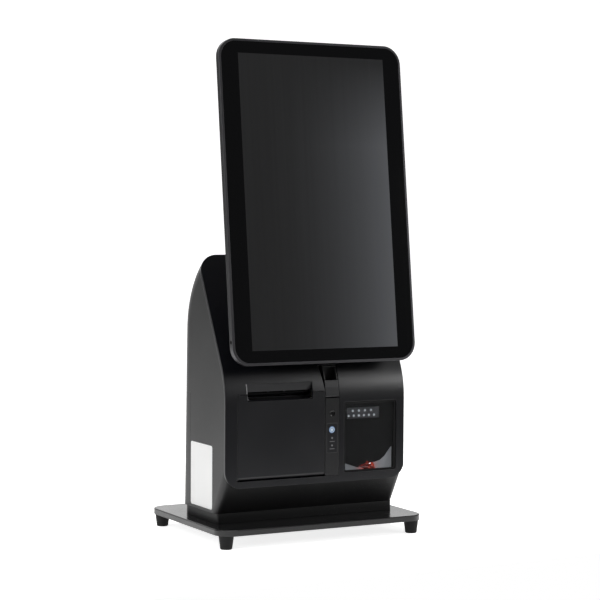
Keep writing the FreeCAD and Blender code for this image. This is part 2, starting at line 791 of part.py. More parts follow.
def screw_at(label, spot, angle, kind, length):
    """A pan head screw of a kind (shank, head and head height), with its seat at a spot.

    Its head points up, and an angle leans it back about X: 90 turns the head to +Y, 180 down.
    """
    size, head, head_height = kind
    shank = doc.addObject("Part::Cylinder", f"{label}_shank")
    bind(shank, "Radius", size / 2)
    bind(shank, "Height", length)
    bind(shank, "Placement.Base.z", -Size.of(length))
    cap = doc.addObject("Part::Cylinder", f"{label}_head")
    bind(cap, "Radius", head / 2)
    bind(cap, "Height", head_height)
    whole = joined(label, shank, cap)
    place(whole, *spot, angle=angle)
    return whole


def make_plinth(foot_screws):
    """The hollow plinth, closed on top, with a post round each screw."""
    side = half - s.plinth_inset
    front = -s.toe_reach
    rear = s.rear_reach - s.plinth_inset
    plinth = Piece("plinth")
    plinth.add("XY", box(-side, front, side, rear), plate_high, floor)
    corners = [Edges("z", x=x, y=rear) for x in (-side, side)]
    plinth.round(s.rear_edge - s.plinth_inset, *corners)
    plinth.round(s.plinth_edge, *[Edges("z", x=x, y=front) for x in (-side, side)])
    wall = s.plinth_wall
    room = Rounded(wall - side, front + wall, side - wall, rear - wall, s.rear_edge - s.plinth_inset - wall)
    plinth.cut("XY", room, plate_high, floor - wall)
    spots = plinth_screw_spots()
    plinth.add("XY", [Circle(x, y, s.foot_bore) for x, y in spots], plate_high, floor - wall / 2)
    plinth.cut("XY", [Circle(x, y, s.foot_bore / 2) for x, y in spots], plate_high, floor)
    keep(plinth)
    length = floor + s.wall + s.chassis_thick - plinth_screw_seat + 1
    screws = [
        screw_at(f"plinth_screw_{n}", (x, y, plinth_screw_seat), 180, large_screw, length)
        for n, (x, y) in enumerate(spots)
    ]
    keep(group("stand_screws", foot_screws + screws))


# ---------------------------------------------------------------- housing and covers


def casing(label, side=0, skin=0, bottom=0, front=0, toe=None):
    """The housing's outer form as a block, each face moved inwards by its own distance.

    side moves the flat sides, skin the rounded back, bottom the underside, front the front
    face and slanted panel, and toe the slanted lower front; without a toe the face runs down.
    """
    block = Piece(label)
    width = half - side
    low = floor + bottom
    far = face - 40
    rear_slope = tan(s.rear_draft)
    crown_fall = tan(s.crown_slope)
    top_y = panel_y(panel_top)
    rear_foot = s.rear_reach - skin / cos(s.rear_draft)
    crown_start = panel_top - skin / cos(s.crown_slope)
    corner_z = (crown_start - (rear_foot + floor * rear_slope - top_y) * crown_fall)
    corner_z = corner_z / (1 - rear_slope * crown_fall)
    corner_y = rear_foot - (corner_z - floor) * rear_slope
    block.add("YZ", Polygon(
        (far, low),
        (rear_y(low, skin), low),
        (corner_y, corner_z),
        (far, crown_start + (top_y - far) * crown_fall),
    ), -width, width)
    block.round(s.crown_radius - skin, Edges("x", y=corner_y, z=corner_z))
    for x in (-width, width):
        block.round(s.rear_edge - skin, Edges(x=x, y=(top_y - 60, 999), z=(low, 999)))
    high = panel_top + 90
    face_y = face + front
    bend_z = brow + (front - front / cos(s.panel_lean)) / tan(s.panel_lean)
    if toe is None:
        foot = [(face_y, low - 10)]
    else:
        foot = [(toe_y(low - 10, toe), low - 10), (face_y, toe_z(face_y, toe))]
    block.cut("YZ", Polygon(
        (far - 10, low - 10), *foot, (face_y, bend_z), (panel_y(high, front), high), (far - 10, high),
    ), -width - past, width + past)
    block.round(s.brow_radius - front, Edges("x", y=face_y, z=bend_z))
    return block


rear_cover_low = floor + s.wall
rear_cover_high = floor + s.rear_cover_rise
bay_low = floor + s.socket_bay_rise
bay_high = bay_low + s.socket_bay_height
roll_y = face + s.roll_behind
roll_z = floor + s.roll_rise
upright_front = roll_y + s.roll_size / 2 + s.roll_gap + s.bucket_wall
upright_back = upright_front + s.chassis_thick
door_right = s.door_width - s.door_left
strip_left = door_right + s.strip_gap
strip_right = strip_left + s.strip_width
channel_top = door_high + s.channel_rise
lever_low = brow_start + s.lever_rise
lever_high = lever_low + s.lever_height
window_right = s.window_left + s.window_width
window_low = floor + s.window_rise
window_high = window_low + s.window_height
slot_left = -s.slot_centre - s.slot_width / 2
slot_right = s.slot_width / 2 - s.slot_centre
slot_low = door_high - s.slot_sill
scoop_high = door_high + s.scoop_height
cover_back = face + s.cover_thick


def make_housing():
    """The moulded shell: sides, rounded back and slanted lower front, open behind the covers."""
    outer = casing("housing_outer", front=s.cover_thick, toe=0)
    top_of_toe = toe_z(cover_back, 0)
    for x in (-half, half):
        outer.round(s.toe_edge, Edges(x=x, y=(cover_back, -s.toe_reach), z=(floor, top_of_toe)))
    holes = [Circle(x, y, s.foot_bore / 2) for x, y in plinth_screw_spots()]
    outer.cut("XY", holes, floor, floor + 2 * s.wall)
    opening = box(-s.door_left - s.seam, door_low - 2, window_right, window_high)
    outer.cut("XZ", opening, cover_back, cover_back + 2 * s.wall)
    room = casing("housing_room", s.wall, s.wall, s.wall, -10, s.wall)
    shell = less("housing_shell", outer, room)
    rear_room = Piece("rear_cover_opening")
    rear_room.add("XY", box(-half - past, s.rear_cover_start, half + past, s.rear_reach + past),
                  rear_cover_low, rear_cover_high)
    inside = s.wall + s.lip
    lip_room = casing("lip_room", inside, inside, inside, -10, s.wall)
    lining = less("lip_lining", casing("lip_outer", s.wall, s.wall, s.wall, -10, s.wall), lip_room)
    lip_zone = Piece("lip_zone")
    lip_low = floor + s.wall + s.chassis_thick + 1
    lip_zone.add("YZ", box(s.rear_cover_start - s.lip_hold, lip_low, s.rear_reach + past,
                           rear_cover_high + s.lip_hold), -half - past, half + past)
    lip_zone.cut("YZ", box(s.rear_cover_start + s.lip_under, lip_low - 1, s.rear_reach + 6,
                           rear_cover_high - s.lip_under), -half - past, half + past)
    lip = both("housing_lip", lining, lip_zone)
    keep(joined("housing", less("housing_body", shell, rear_room), lip))
    make_rear_cover(shell)


def rear_screw_spots():
    across = s.chassis_half - s.rear_screw_inset
    heights = (bay_high + s.rear_screw_low, rear_cover_high - s.rear_screw_high)
    return [(x, z) for x in (-across, across) for z in heights]


rear_screw_seat = upright_back + s.rear_screw_sink


def make_rear_cover(shell):
    """The service cover: the back of the shell with vents, the socket bay and screw posts."""
    zone = Piece("rear_cover_zone")
    zone.add("XY", box(-half - past, s.rear_cover_start + s.seam, half + past, s.rear_reach + past),
             rear_cover_low, rear_cover_high - s.seam)
    zone.cut("XZ", Rounded(-s.socket_bay_half, bay_low, s.socket_bay_half, bay_high, 4),
             upright_back, s.rear_reach + past)
    vents = 12
    start = -s.vent_pitch * (vents - 1) / 2 - s.vent_width / 2
    low = bay_high + s.vent_rise
    slot = box(start, low, start + s.vent_width, low + s.vent_height)
    vent = zone.cut("XZ", slot, upright_back, s.rear_reach + past)
    zone.row(vent, "X", s.vent_pitch, vents)
    wall = both("rear_cover_wall", shell, zone)
    posts = []
    for n, (x, z) in enumerate(rear_screw_spots()):
        inside = rear_y(z, s.wall / 2)
        post = doc.addObject("Part::Cylinder", f"rear_post_{n}")
        bind(post, "Radius", s.screw_head / 2 + 1.6)
        bind(post, "Height", inside - upright_back)
        place(post, x, inside, z, (1, 0, 0), 90)
        posts.append(post)
    bores = Piece("rear_cover_bores")
    for radius, start in ((s.screw_size / 2, 0), (s.screw_head / 2 + 0.3, rear_screw_seat)):
        circles = [Circle(x, z, radius) for x, z in rear_screw_spots()]
        bores.add("XZ", circles, start, s.rear_reach + past)
    keep(less("rear_cover", joined("rear_cover_solid", wall, *posts), bores))
    screws = [
        screw_at(f"rear_screw_{n}", (x, rear_screw_seat, z), 90, small_screw, rear_screw_seat - upright_front)
        for n, (x, z) in enumerate(rear_screw_spots())
    ]
    keep(group("rear_cover_screws", screws))


pin_y = face + s.door_pin_depth
pin_z = door_low + s.door_pin_depth
pivot_z = brow + s.hinge_rise
pivot_y = panel_y(pivot_z) - s.hinge_standoff / cos(s.panel_lean)
hinge_screw_x = s.bracket_half - s.plate_hole_inset
hinge_screw_z = s.bracket_rise - s.plate_hole_inset
hinge_screw_spots = [(x, z) for x in (-hinge_screw_x, hinge_screw_x) for z in (-hinge_screw_z, hinge_screw_z)]


def make_hinge_bores():
    """The screw holes that the hinge bracket needs through cover and chassis."""
    bores = Piece("hinge_bores")
    bores.add("XZ", [Circle(x, z, s.foot_bore / 2) for x, z in hinge_screw_spots],
              s.hinge_standoff - 1, s.hinge_standoff + 12)
    bores.place(0, pivot_y, pivot_z, angle=s.panel_lean)
    return bores


def make_front_cover(hinge_bores):
    """The formed front cover: slanted panel, rounded brow and bezel, 3 mm thick."""
    form = Piece("front_cover_form")
    high = panel_top + 60
    form.add("YZ", Polygon((face, floor), (face, brow), (panel_y(high), high), (s.rear_reach, high),
                           (s.rear_reach, floor)), -half, half)
    form.round(s.brow_radius, Edges("x", y=face, z=brow))
    for x in (-half, half):
        form.round(s.cover_edge, Edges("z", x=x, y=face))
    outer = both("front_cover_outer_form", casing("front_cover_outer"), form)
    behind = casing("front_cover_behind", -5, -5, -5, s.cover_thick, 0)
    sheet = less("front_cover_sheet", outer, behind)
    plate = Piece("front_cover_plate")
    plate.add("XZ", Rounded(-half, floor + s.bezel_rise, half, high, s.bezel_corner), face - past, 60)
    gap = s.seam
    plate.cut("XZ", Polygon(
        (-s.door_left - gap, door_low - gap),
        (strip_right + gap, door_low - gap),
        (strip_right + gap, channel_top),
        (door_right + gap - s.channel_flare, channel_top),
        (door_right + gap, door_high + gap),
        (slot_right + gap, door_high + gap),
        (slot_right + gap, scoop_high),
        (slot_left - gap, scoop_high),
        (slot_left - gap, door_high + gap),
        (-s.door_left - gap, door_high + gap),
    ), face - past, face + 30)
    window = Rounded(s.window_left, window_low, window_right, window_high, s.window_corner)
    plate.cut("XZ", window, face - past, face + 30)
    bored = less("front_cover_bored", both("front_cover_shape", sheet, plate), hinge_bores)
    lug = Piece("door_pin_lug")
    lug_x = -s.door_left - gap - 1
    lug.add("YZ", box(cover_back, pin_z - 5, cover_back + 6, pin_z + 18), lug_x - 2.5, lug_x)
    lug.cut("YZ", Circle(pin_y, pin_z, s.door_pin / 2), lug_x - 2.5, lug_x)
    keep(joined("front_cover", bored, lug))


def make_exit_guide():
    """The ticket exit's upper lip, sloping inwards under the brow, with two tick ribs."""
    guide = Piece("exit_guide")
    lip = slot_low + s.exit_height
    lip_back = face + s.blade_behind - s.exit_gap
    guide.add("YZ", Polygon(
        (brow_y(scoop_high, 0.2), scoop_high - 0.1),
        (lip_back - 3, lip),
        (lip_back, lip),
        (lip_back, scoop_high + 4),
        (brow_y(scoop_high + 4, s.cover_thick), scoop_high + 4),
        (brow_y(scoop_high, s.cover_thick), scoop_high - 0.1),
    ), slot_left - s.seam, slot_right + s.seam)
    for x in (-s.slot_centre - s.rib_left, s.rib_right - s.slot_centre):
        guide.add("YZ", box(lip_back - 2.6, lip - 1, lip_back - 0.4, lip + 1), x - 0.6, x + 0.6)
    keep(guide)


# ---------------------------------------------------------------- printer door

platen_y = face + s.platen_behind
platen_z = door_high - s.platen_drop
ear_outer = s.frame_half - 0.8
blade_front = face + s.blade_behind
fixed_blade_front = blade_front + s.blade_thick + s.blade_gap


def make_door():
    """The drop-down door with its hinge barrel, side flanges and platen ears."""
    door = Piece("printer_door")
    left = -s.door_left
    back = face + s.wall
    door.add("XZ", box(left, pin_z, door_right, door_high), face, back)
    door.cut("XZ", box(slot_left, slot_low, slot_right, door_high + 1), face, back)
    sill = Edges("x", y=face, z=slot_low)
    door.bevel(1.5, sill)
    reach = s.door_pin_depth
    door.add("YZ", Circle(pin_y, pin_z, reach), left, door_right)
    for x in (left, door_right - s.sheet):
        door.add("YZ", box(back - 1, door_low + 12, back + 5, door_high - 4), x, x + s.sheet)
    ear = Polygon(
        (back - 1, platen_z - 16), (platen_y, platen_z - 10), (platen_y + 6, platen_z - 4),
        (platen_y + 6, platen_z + 5.5), (platen_y - 5.5, platen_z + 5.5),
        (platen_y - 8, platen_z + 0.5), (back - 1, platen_z - 2),
    )
    for x in (-ear_outer - s.slot_centre, ear_outer - s.slot_centre - s.ear_thick):
        door.add("YZ", ear, x, x + s.ear_thick)
    door.cut("YZ", Circle(platen_y, platen_z, s.bush_size / 2), left, door_right)
    door.cut("YZ", Circle(pin_y, pin_z, s.door_pin / 2 + s.run_gap), left, door_right)
    keep(door)


def make_door_liner():
    """The door's inner panel; its top edge carries the fixed blade."""
    liner = Piece("door_liner")
    back = face + s.wall
    inner = ear_outer - s.ear_thick - 0.6
    seat = platen_z - 3
    deep = back + s.liner_depth
    shelf = fixed_blade_front + s.blade_thick + 0.4
    liner.add("YZ", Polygon(
        (back, pin_z + 6), (deep, pin_z + 12), (deep, seat - 9), (shelf, seat - 5), (shelf, seat), (back, seat),
    ), -inner - s.slot_centre, inner - s.slot_centre)
    ribs = 7
    first = -s.slot_centre - s.liner_rib_pitch * (ribs - 1) / 2 - s.liner_rib / 2
    rib = liner.add("YZ", Polygon(
        (deep - 1, pin_z + 13), (deep + s.liner_rib, pin_z + 15),
        (deep + s.liner_rib, seat - 9), (deep - 1, seat - 10),
    ), first, first + s.liner_rib)
    liner.row(rib, "X", s.liner_rib_pitch, ribs)
    keep(liner)
    blade = Piece("fixed_blade")
    edge = slot_low + s.blade_over
    blade.add("YZ", box(fixed_blade_front, seat, fixed_blade_front + s.blade_thick, edge),
              -s.blade_half - s.slot_centre, s.blade_half - s.slot_centre)
    blade.bevel(0.6, Edges("x", y=fixed_blade_front + s.blade_thick, z=edge))
    keep(blade)


def make_platen():
    """Rubber roller, shaft with its gear, and the two bushes in the door's ears."""
    roller = Piece("platen_roller")
    length = s.paper_width / 2 + 0.5
    roller.add("YZ", [Circle(0, 0, s.platen_size / 2), Circle(0, 0, s.shaft_size / 2)], -length, length)
    roller.place(-s.slot_centre, platen_y, platen_z)
    keep(roller)
    shaft = Piece("platen_shaft")
    outer = s.frame_half + s.sheet
    shaft.add("YZ", Circle(0, 0, s.shaft_size / 2), -outer - 1, outer + s.gear_gap + s.gear_width + 0.8)
    shaft.place(-s.slot_centre, platen_y, platen_z)
    keep(shaft)
    bushes = []
    for n, x in enumerate((-ear_outer, ear_outer - s.ear_thick)):
        bush = Piece(f"platen_bush_{n}")
        bush.add("YZ", [Circle(0, 0, s.bush_size / 2), Circle(0, 0, s.shaft_size / 2 + s.run_gap)],
                 x, x + s.ear_thick)
        bush.place(-s.slot_centre, platen_y, platen_z)
        bushes.append(bush)
    keep(group("platen_bushes", bushes))


# ---------------------------------------------------------------- feed gears

gear_left = s.frame_half + s.sheet + s.gear_gap - s.slot_centre


def pitch_radius(teeth):
    return s.gear_module * teeth / 2


def make_gear(label, teeth, bore, y, z, angle):
    """A spur gear about X: straight-flanked teeth round a root disc, turned to its mesh."""
    gear = Piece(label)
    pitch = pitch_radius(teeth)
    root_radius = pitch - s.gear_module * 1.3
    tip = pitch + s.gear_module * 0.9
    outline = [Circle(0, 0, root_radius)]
    if value(bore) > 0:
        outline.append(Circle(0, 0, bore / 2))
    gear.add("YZ", outline, 0, s.gear_width)
    module = s.gear_module
    tooth = gear.add("YZ", Polygon(
        (root_radius - 0.2, -module * 0.95),
        (pitch, -module * 0.66),
        (tip, -module * 0.34),
        (tip, module * 0.34),
        (pitch, module * 0.66),
        (root_radius - 0.2, module * 0.95),
    ), 0, s.gear_width)
    gear.ring(tooth, "X", teeth)
    gear.place(gear_left, y, z, (1, 0, 0), angle)
    return gear


def mesh_angle(angle, teeth, direction, other_teeth):
    """The turn that meshes a gear with one turned by angle, seen from it in a direction."""
    return direction + 180 - (angle - direction) * teeth / other_teeth + 180 / other_teeth


def beyond(y, z, teeth, other_teeth, direction):
    """The centre of a gear meshed with one at (y, z)."""
    reach = pitch_radius(teeth) + pitch_radius(other_teeth)
    return y + reach * cos(direction), z + reach * sin(direction)


idler_y, idler_z = beyond(platen_y, platen_z, s.platen_teeth, s.idler_teeth, s.idler_angle)
pinion_y, pinion_z = beyond(idler_y, idler_z, s.idler_teeth, s.pinion_teeth, s.pinion_angle)


def make_feed_gears():
    platen_turn = Size.of(0)
    keep(make_gear("platen_gear", s.platen_teeth, s.shaft_size, platen_y, platen_z, platen_turn))
    idler_turn = mesh_angle(platen_turn, s.platen_teeth, s.idler_angle, s.idler_teeth)
    bore = s.idler_axle + s.run_gap * 2
    keep(make_gear("idler_gear", s.idler_teeth, bore, idler_y, idler_z, idler_turn))
    pinion_turn = mesh_angle(idler_turn, s.idler_teeth, s.pinion_angle, s.pinion_teeth)
    pinion = make_gear("pinion", s.pinion_teeth, Size.of(0), pinion_y, pinion_z, pinion_turn)
    shaft = doc.addObject("Part::Cylinder", "pinion_shaft")
    bind(shaft, "Radius", s.motor_shaft / 2)
    reach = s.gear_gap + s.sheet + 4
    bind(shaft, "Height", reach + s.gear_width)
    place(shaft, gear_left - reach, pinion_y, pinion_z, (0, 1, 0), 90)
    keep(joined("motor_pinion", pinion, shaft))


# ---------------------------------------------------------------- printer mechanism

chassis_floor = floor + s.wall + s.chassis_thick
frame_y = face + s.frame_front
frame_top = door_high + s.frame_rise
blade_low = slot_low + s.blade_over + s.blade_open


def make_printer_frame():
    """Two side plates with a slot for the platen shaft, a bridge behind the blade and a top."""
    frame = Piece("printer_frame")
    outer = s.frame_half + s.sheet
    toe_inset = s.wall + 1.5
    side = Polygon(
        (frame_y, toe_z(frame_y, toe_inset)),
        (toe_y(chassis_floor, toe_inset), chassis_floor),
        (upright_front, chassis_floor),
        (upright_front, roll_z + 30),
        (roll_y + 16, frame_top),
        (frame_y, frame_top),
    )
    for x in (-outer - s.slot_centre, s.frame_half - s.slot_centre):
        frame.add("YZ", side, x, x + s.sheet)
    back = roll_y - 4
    frame.add("YZ", Polygon(
        (frame_y, blade_low + 6), (frame_y + s.sheet, blade_low + 6),
        (frame_y + s.sheet, frame_top - s.sheet), (back, frame_top - s.sheet),
        (back, frame_top), (frame_y, frame_top),
    ), -outer - s.slot_centre, outer - s.slot_centre)
    frame.add("YZ", box(upright_front - s.sheet, chassis_floor, upright_front, chassis_floor + 16),
              -outer - s.slot_centre, outer - s.slot_centre)
    notch = box(frame_y - 1, platen_z - s.shaft_size / 2 - 0.7, platen_y + s.shaft_size / 2 + 0.5,
                platen_z + s.shaft_size / 2 + 1.9)
    frame.cut("YZ", notch, -outer - s.slot_centre - 1, outer - s.slot_centre + 1)
    window = Polygon(
        (roll_y - 26, roll_z - 20), (roll_y + 26, roll_z - 20), (roll_y, roll_z + 25),
    )
    frame.cut("YZ", window, -outer - s.slot_centre - 1, outer - s.slot_centre + 1)
    frame.cut("YZ", Circle(pinion_y, pinion_z, s.motor_shaft / 2 + 0.5),
              s.frame_half - s.slot_centre - 1, outer - s.slot_centre + 1)
    frame.add("YZ", Circle(idler_y, idler_z, s.idler_axle / 2), s.frame_half - s.slot_centre,
              gear_left + s.gear_width + 0.6)
    keep(frame)


def make_roll_bucket():
    """The drop-in paper roll bucket: a trough open to the front and top, on two legs."""
    bucket = Piece("roll_bucket")
    inner = s.roll_size / 2 + s.roll_gap
    outer = inner + s.bucket_wall
    reach = s.frame_half - 0.4
    left = -reach - s.slot_centre
    right = reach - s.slot_centre
    bucket.add("YZ", [Circle(roll_y, roll_z, outer), Circle(roll_y, roll_z, inner)], left, right)
    bucket.cut("YZ", Polygon(
        (roll_y, roll_z), (roll_y - 31, roll_z - 42), (roll_y - 60, roll_z - 42),
        (roll_y - 60, roll_z + 60), (roll_y + 30, roll_z + 60),
    ), left - 1, right + 1)
    for y in (roll_y - 20, roll_y + 18):
        leg = box(y, chassis_floor, y + s.bucket_wall, roll_z - inner * 0.92)
        bucket.add("YZ", leg, left, right)
    for x in (left, right - s.bucket_wall):
        bucket.add("YZ", Polygon(
            (roll_y - inner * 0.6, roll_z - inner * 0.75), (roll_y, roll_z - outer + 0.5),
            (roll_y + inner * 0.8, roll_z - inner * 0.62), (roll_y + inner + 0.5, roll_z),
            (roll_y - inner * 0.5, roll_z),
        ), x, x + s.bucket_wall)
    keep(bucket)


def make_thermal_head():
    """The print head with its heat sink fins, pressed on the platen by two leaf springs."""
    head = Piece("thermal_head")
    near = s.platen_size / 2 + s.head_gap
    top = near + s.head_thick
    front = -s.head_length * 0.3
    back = front + s.head_length
    reach = s.paper_width / 2 + 1
    head.add("YZ", box(front, near, back, top), -reach, reach)
    groove = head.cut("YZ", box(front + 2.5, near + 4, front + 4.5, top), -reach, reach)
    head.row(groove, "Y", 4.0, 3)
    head.place(-s.slot_centre, platen_y, platen_z, angle=s.head_tilt)
    keep(head)
    seat = platen_z + top / cos(s.head_tilt)
    ceiling = frame_top - s.sheet
    leaf = s.spring_sheet
    start = platen_y - s.spring_front
    flat = platen_y + s.spring_flat
    bend = platen_y + s.spring_bend
    toe = platen_y - s.spring_toe
    springs = []
    for n, x in enumerate((-s.spring_half, s.spring_half)):
        spring = Piece(f"head_spring_{n}")
        spring.add("YZ", Polygon(
            (start, ceiling), (start, ceiling - leaf), (flat, ceiling - leaf), (bend, ceiling - s.spring_drop),
            (platen_y + 2 * leaf, seat + leaf), (toe, seat + 3.2 * leaf), (toe - 0.8 * leaf, seat + 2.4 * leaf),
            (platen_y + 1.6 * leaf, seat), (bend + 1.2 * leaf, ceiling - s.spring_drop - 0.2 * leaf),
            (flat + 0.8 * leaf, ceiling),
        ), x - s.slot_centre - s.spring_width / 2, x - s.slot_centre + s.spring_width / 2)
        springs.append(spring)
    keep(group("head_springs", springs))
    motor = Piece("feed_motor")
    start = s.frame_half - s.slot_centre - s.motor_length
    end = s.frame_half - s.slot_centre
    motor.add("YZ", Circle(pinion_y, pinion_z, s.motor_size / 2), start, end)
    motor.add("YZ", Rounded(pinion_y - 4, pinion_z - 4, pinion_y + 14, pinion_z + 14, 3.9), end - 1, end)
    motor.cut("YZ", Circle(pinion_y, pinion_z, s.motor_shaft / 2 + s.run_gap), end - 6, end)
    keep(motor)


# ---------------------------------------------------------------- ticket cutter

cutter_pitch = s.gear_module * s.cutter_teeth / 2
rack_x = -s.slot_centre - s.frame_half - s.sheet - 3.5
cutter_x = rack_x - cutter_pitch
cutter_z = blade_low + 10


def make_cutter():
    """The moving blade with its rack, and the pinion and motor that drive it."""
    blade = Piece("cutter_blade")
    left = -s.blade_half - s.slot_centre
    right = s.blade_half - s.slot_centre
    top = blade_low + s.blade_height
    module = s.gear_module
    rack_low = blade_low + 3
    blade.add("XZ", Polygon(
        (left, blade_low), (right, blade_low + 1.2), (right, top), (rack_x + module, top),
        (rack_x + module, rack_low + 2), (left, rack_low + 2),
    ), blade_front, blade_front + s.blade_thick)
    blade.add("XZ", box(rack_x + module, rack_low + 2, rack_x + module + 2, top + 6),
              blade_front, blade_front + 2 * s.blade_thick)
    pitch = math.pi * module
    first = cutter_z - pitch
    tooth = blade.add("XZ", Polygon(
        (rack_x + module * 1.15, first - module * 0.95), (rack_x + module * 1.15, first + module * 0.95),
        (rack_x, first + module * 0.66), (rack_x - module * 0.9, first + module * 0.34),
        (rack_x - module * 0.9, first - module * 0.34), (rack_x, first - module * 0.66),
    ), blade_front, blade_front + 2 * s.blade_thick)
    blade.row(tooth, "Z", pitch, 6)
    keep(blade)
    gear = Piece("cutter_pinion")
    root_radius = cutter_pitch - module * 1.3
    tip = cutter_pitch + module * 0.9
    gear.add("XZ", Circle(0, 0, root_radius), 0, 2)
    tooth = gear.add("XZ", Polygon(
        (root_radius - 0.2, -module * 0.95), (cutter_pitch, -module * 0.66), (tip, -module * 0.34),
        (tip, module * 0.34), (cutter_pitch, module * 0.66), (root_radius - 0.2, module * 0.95),
    ), 0, 2)
    gear.ring(tooth, "Y", s.cutter_teeth)
    gear.add("XZ", Circle(0, 0, s.motor_shaft / 2), 0, 8)
    gear.place(cutter_x, blade_front, cutter_z, (0, 1, 0), 180 / s.cutter_teeth)
    keep(gear)
    motor = Piece("cutter_motor")
    start = blade_front + 3.5
    end = start + s.cutter_motor_length
    motor.add("XZ", Circle(cutter_x, cutter_z, s.cutter_motor / 2), start, end)
    motor.add("XZ", box(cutter_x, cutter_z - 7, -s.frame_half - s.sheet - s.slot_centre, cutter_z + 7),
              end - 12, end - 2)
    motor.cut("XZ", Circle(cutter_x, cutter_z, s.motor_shaft / 2 + s.run_gap), start, start + 7)
    keep(motor)


# ---------------------------------------------------------------- control strip and buttons

strip_x = (strip_left + strip_right) / 2
lever_pin_y = face + s.lever_depth
lever_pin_z = lever_low + s.lever_depth
lever_bend = lever_low + s.lever_height * 0.6
feed_z = door_low + s.feed_rise
power_z = door_low + s.power_rise
overlay_low = door_low + s.overlay_rise
strip_back = face + s.strip_depth
board_front = face + 10.4
switch_front = face + s.wall + 5.3


def make_control_strip():
    """The narrow strip beside the door, with button holes and the lever's finger well."""
    strip = Piece("control_strip")
    inner_left = strip_left + s.strip_wall
    inner_right = strip_right - s.strip_wall
    plate_top = lever_low - s.move_gap
    well_back = strip_back - s.strip_wall
    behind = s.lever_skin + s.move_gap
    clear = lever_pin_y + s.lever_swing
    over = lever_high + s.move_gap
    side = Polygon(
        (strip_back, door_low), (face + 1, door_low), (face + 1, plate_top), (clear, plate_top),
        (clear, lever_pin_z), (face + behind, lever_pin_z),
        (brow_y(lever_bend) + behind, lever_bend), (brow_y(lever_high) + behind, over),
        (brow_y(over, 0.7), over), (brow_y(lever_high + 9, 0.7), lever_high + 9),
        (brow_y(channel_top - 1, 0.7), channel_top - 1), (strip_back, channel_top - 1),
    )
    eye = Circle(lever_pin_y, lever_pin_z, s.lever_depth - behind)
    strip.add("XZ", box(strip_left, door_low, strip_right, plate_top), face, face + s.wall)
    for x in (strip_left, inner_right):
        strip.add("YZ", side, x, x + s.strip_wall)
        strip.add("YZ", eye, x, x + s.strip_wall)
    strip.add("XZ", box(strip_left, plate_top - 4, strip_right, channel_top - 1), well_back, strip_back)
    strip.add("YZ", Polygon(
        (brow_y(channel_top - 3, 0.9), channel_top - 2.5), (strip_back, channel_top - 2.5),
        (strip_back, channel_top - 1), (brow_y(channel_top - 3, 0.9), channel_top - 1),
    ), strip_left, strip_right)
    overlay = box(strip_x - s.overlay_width / 2, overlay_low,
                  strip_x + s.overlay_width / 2, overlay_low + s.overlay_height)
    strip.cut("XZ", overlay, face, face + s.overlay_thick)
    holes = [
        Circle(strip_x, feed_z, s.feed_size / 2 + s.move_gap),
        Circle(strip_x, power_z, s.power_size / 2 + s.move_gap),
        Circle(strip_x, overlay_low + s.pipe_first, s.pipe_size / 2),
        Circle(strip_x, overlay_low + s.pipe_second, s.pipe_size / 2),
    ]
    strip.cut("XZ", holes, face, face + s.wall)
    strip.cut("YZ", Circle(lever_pin_y, lever_pin_z, s.lever_pin / 2), strip_left, strip_right)
    strip.cut("YZ", Circle(pin_y, pin_z, s.door_pin / 2), strip_left - 1, inner_left)
    keep(strip)


def make_indicators():
    """The overlay plate, and the two light pipes behind it."""
    overlay = Piece("indicator_overlay")
    overlay.add("XZ", box(strip_x - s.overlay_width / 2, overlay_low,
                          strip_x + s.overlay_width / 2, overlay_low + s.overlay_height),
                face, face + s.overlay_thick)
    pipe_heights = [overlay_low + s.pipe_first, overlay_low + s.pipe_second]
    overlay.cut("XZ", [Circle(strip_x, z, s.pipe_size / 2) for z in pipe_heights]
                + [Circle(strip_x, power_z, s.power_size / 2 + s.move_gap)], face, face + s.overlay_thick)
    keep(overlay)
    pipes = []
    for n, z in enumerate(pipe_heights):
        pipe = doc.addObject("Part::Cylinder", f"light_pipe_{n}")
        bind(pipe, "Radius", s.pipe_size / 2)
        bind(pipe, "Height", board_front - 1.5 - face)
        place(pipe, strip_x, face, z, angle=90)
        pipes.append(pipe)
    keep(group("light_pipes", pipes))


def make_button(label, z, size, sink):
    """A round push button with a bevelled front and a flange behind the strip."""
    button = Piece(label)
    radius = size / 2
    back = switch_front - s.button_travel
    flange = face + s.wall + s.move_gap
    button.add("XZ", Circle(strip_x, z, radius), face + sink, back)
    button.add("XZ", Circle(strip_x, z, radius + s.button_flange), flange, flange + 1.2)
    button.bevel(s.button_edge, Edges(y=face + sink))
    keep(button)


def make_button_board():
    """The small board behind the strip, with two switches and two lights."""
    board = Piece("button_board")
    left = strip_left + s.strip_wall + 0.3
    right = strip_right - s.strip_wall - 0.3
    low = overlay_low - 2
    high = feed_z + 8
    board.add("XZ", box(left, low, right, high), board_front, board_front + s.board_thick)
    for z in (feed_z, power_z):
        reach = s.switch_size / 2
        board.add("XZ", box(strip_x - reach, z - reach, strip_x + reach, z + reach),
                  switch_front + 0.9, board_front)
        board.add("XZ", Circle(strip_x, z, 1.6), switch_front, board_front)
    for z in (overlay_low + s.pipe_first, overlay_low + s.pipe_second):
        board.add("XZ", box(strip_x - 1.5, z - 1, strip_x + 1.5, z + 1), board_front - 1.2, board_front)
    keep(board)


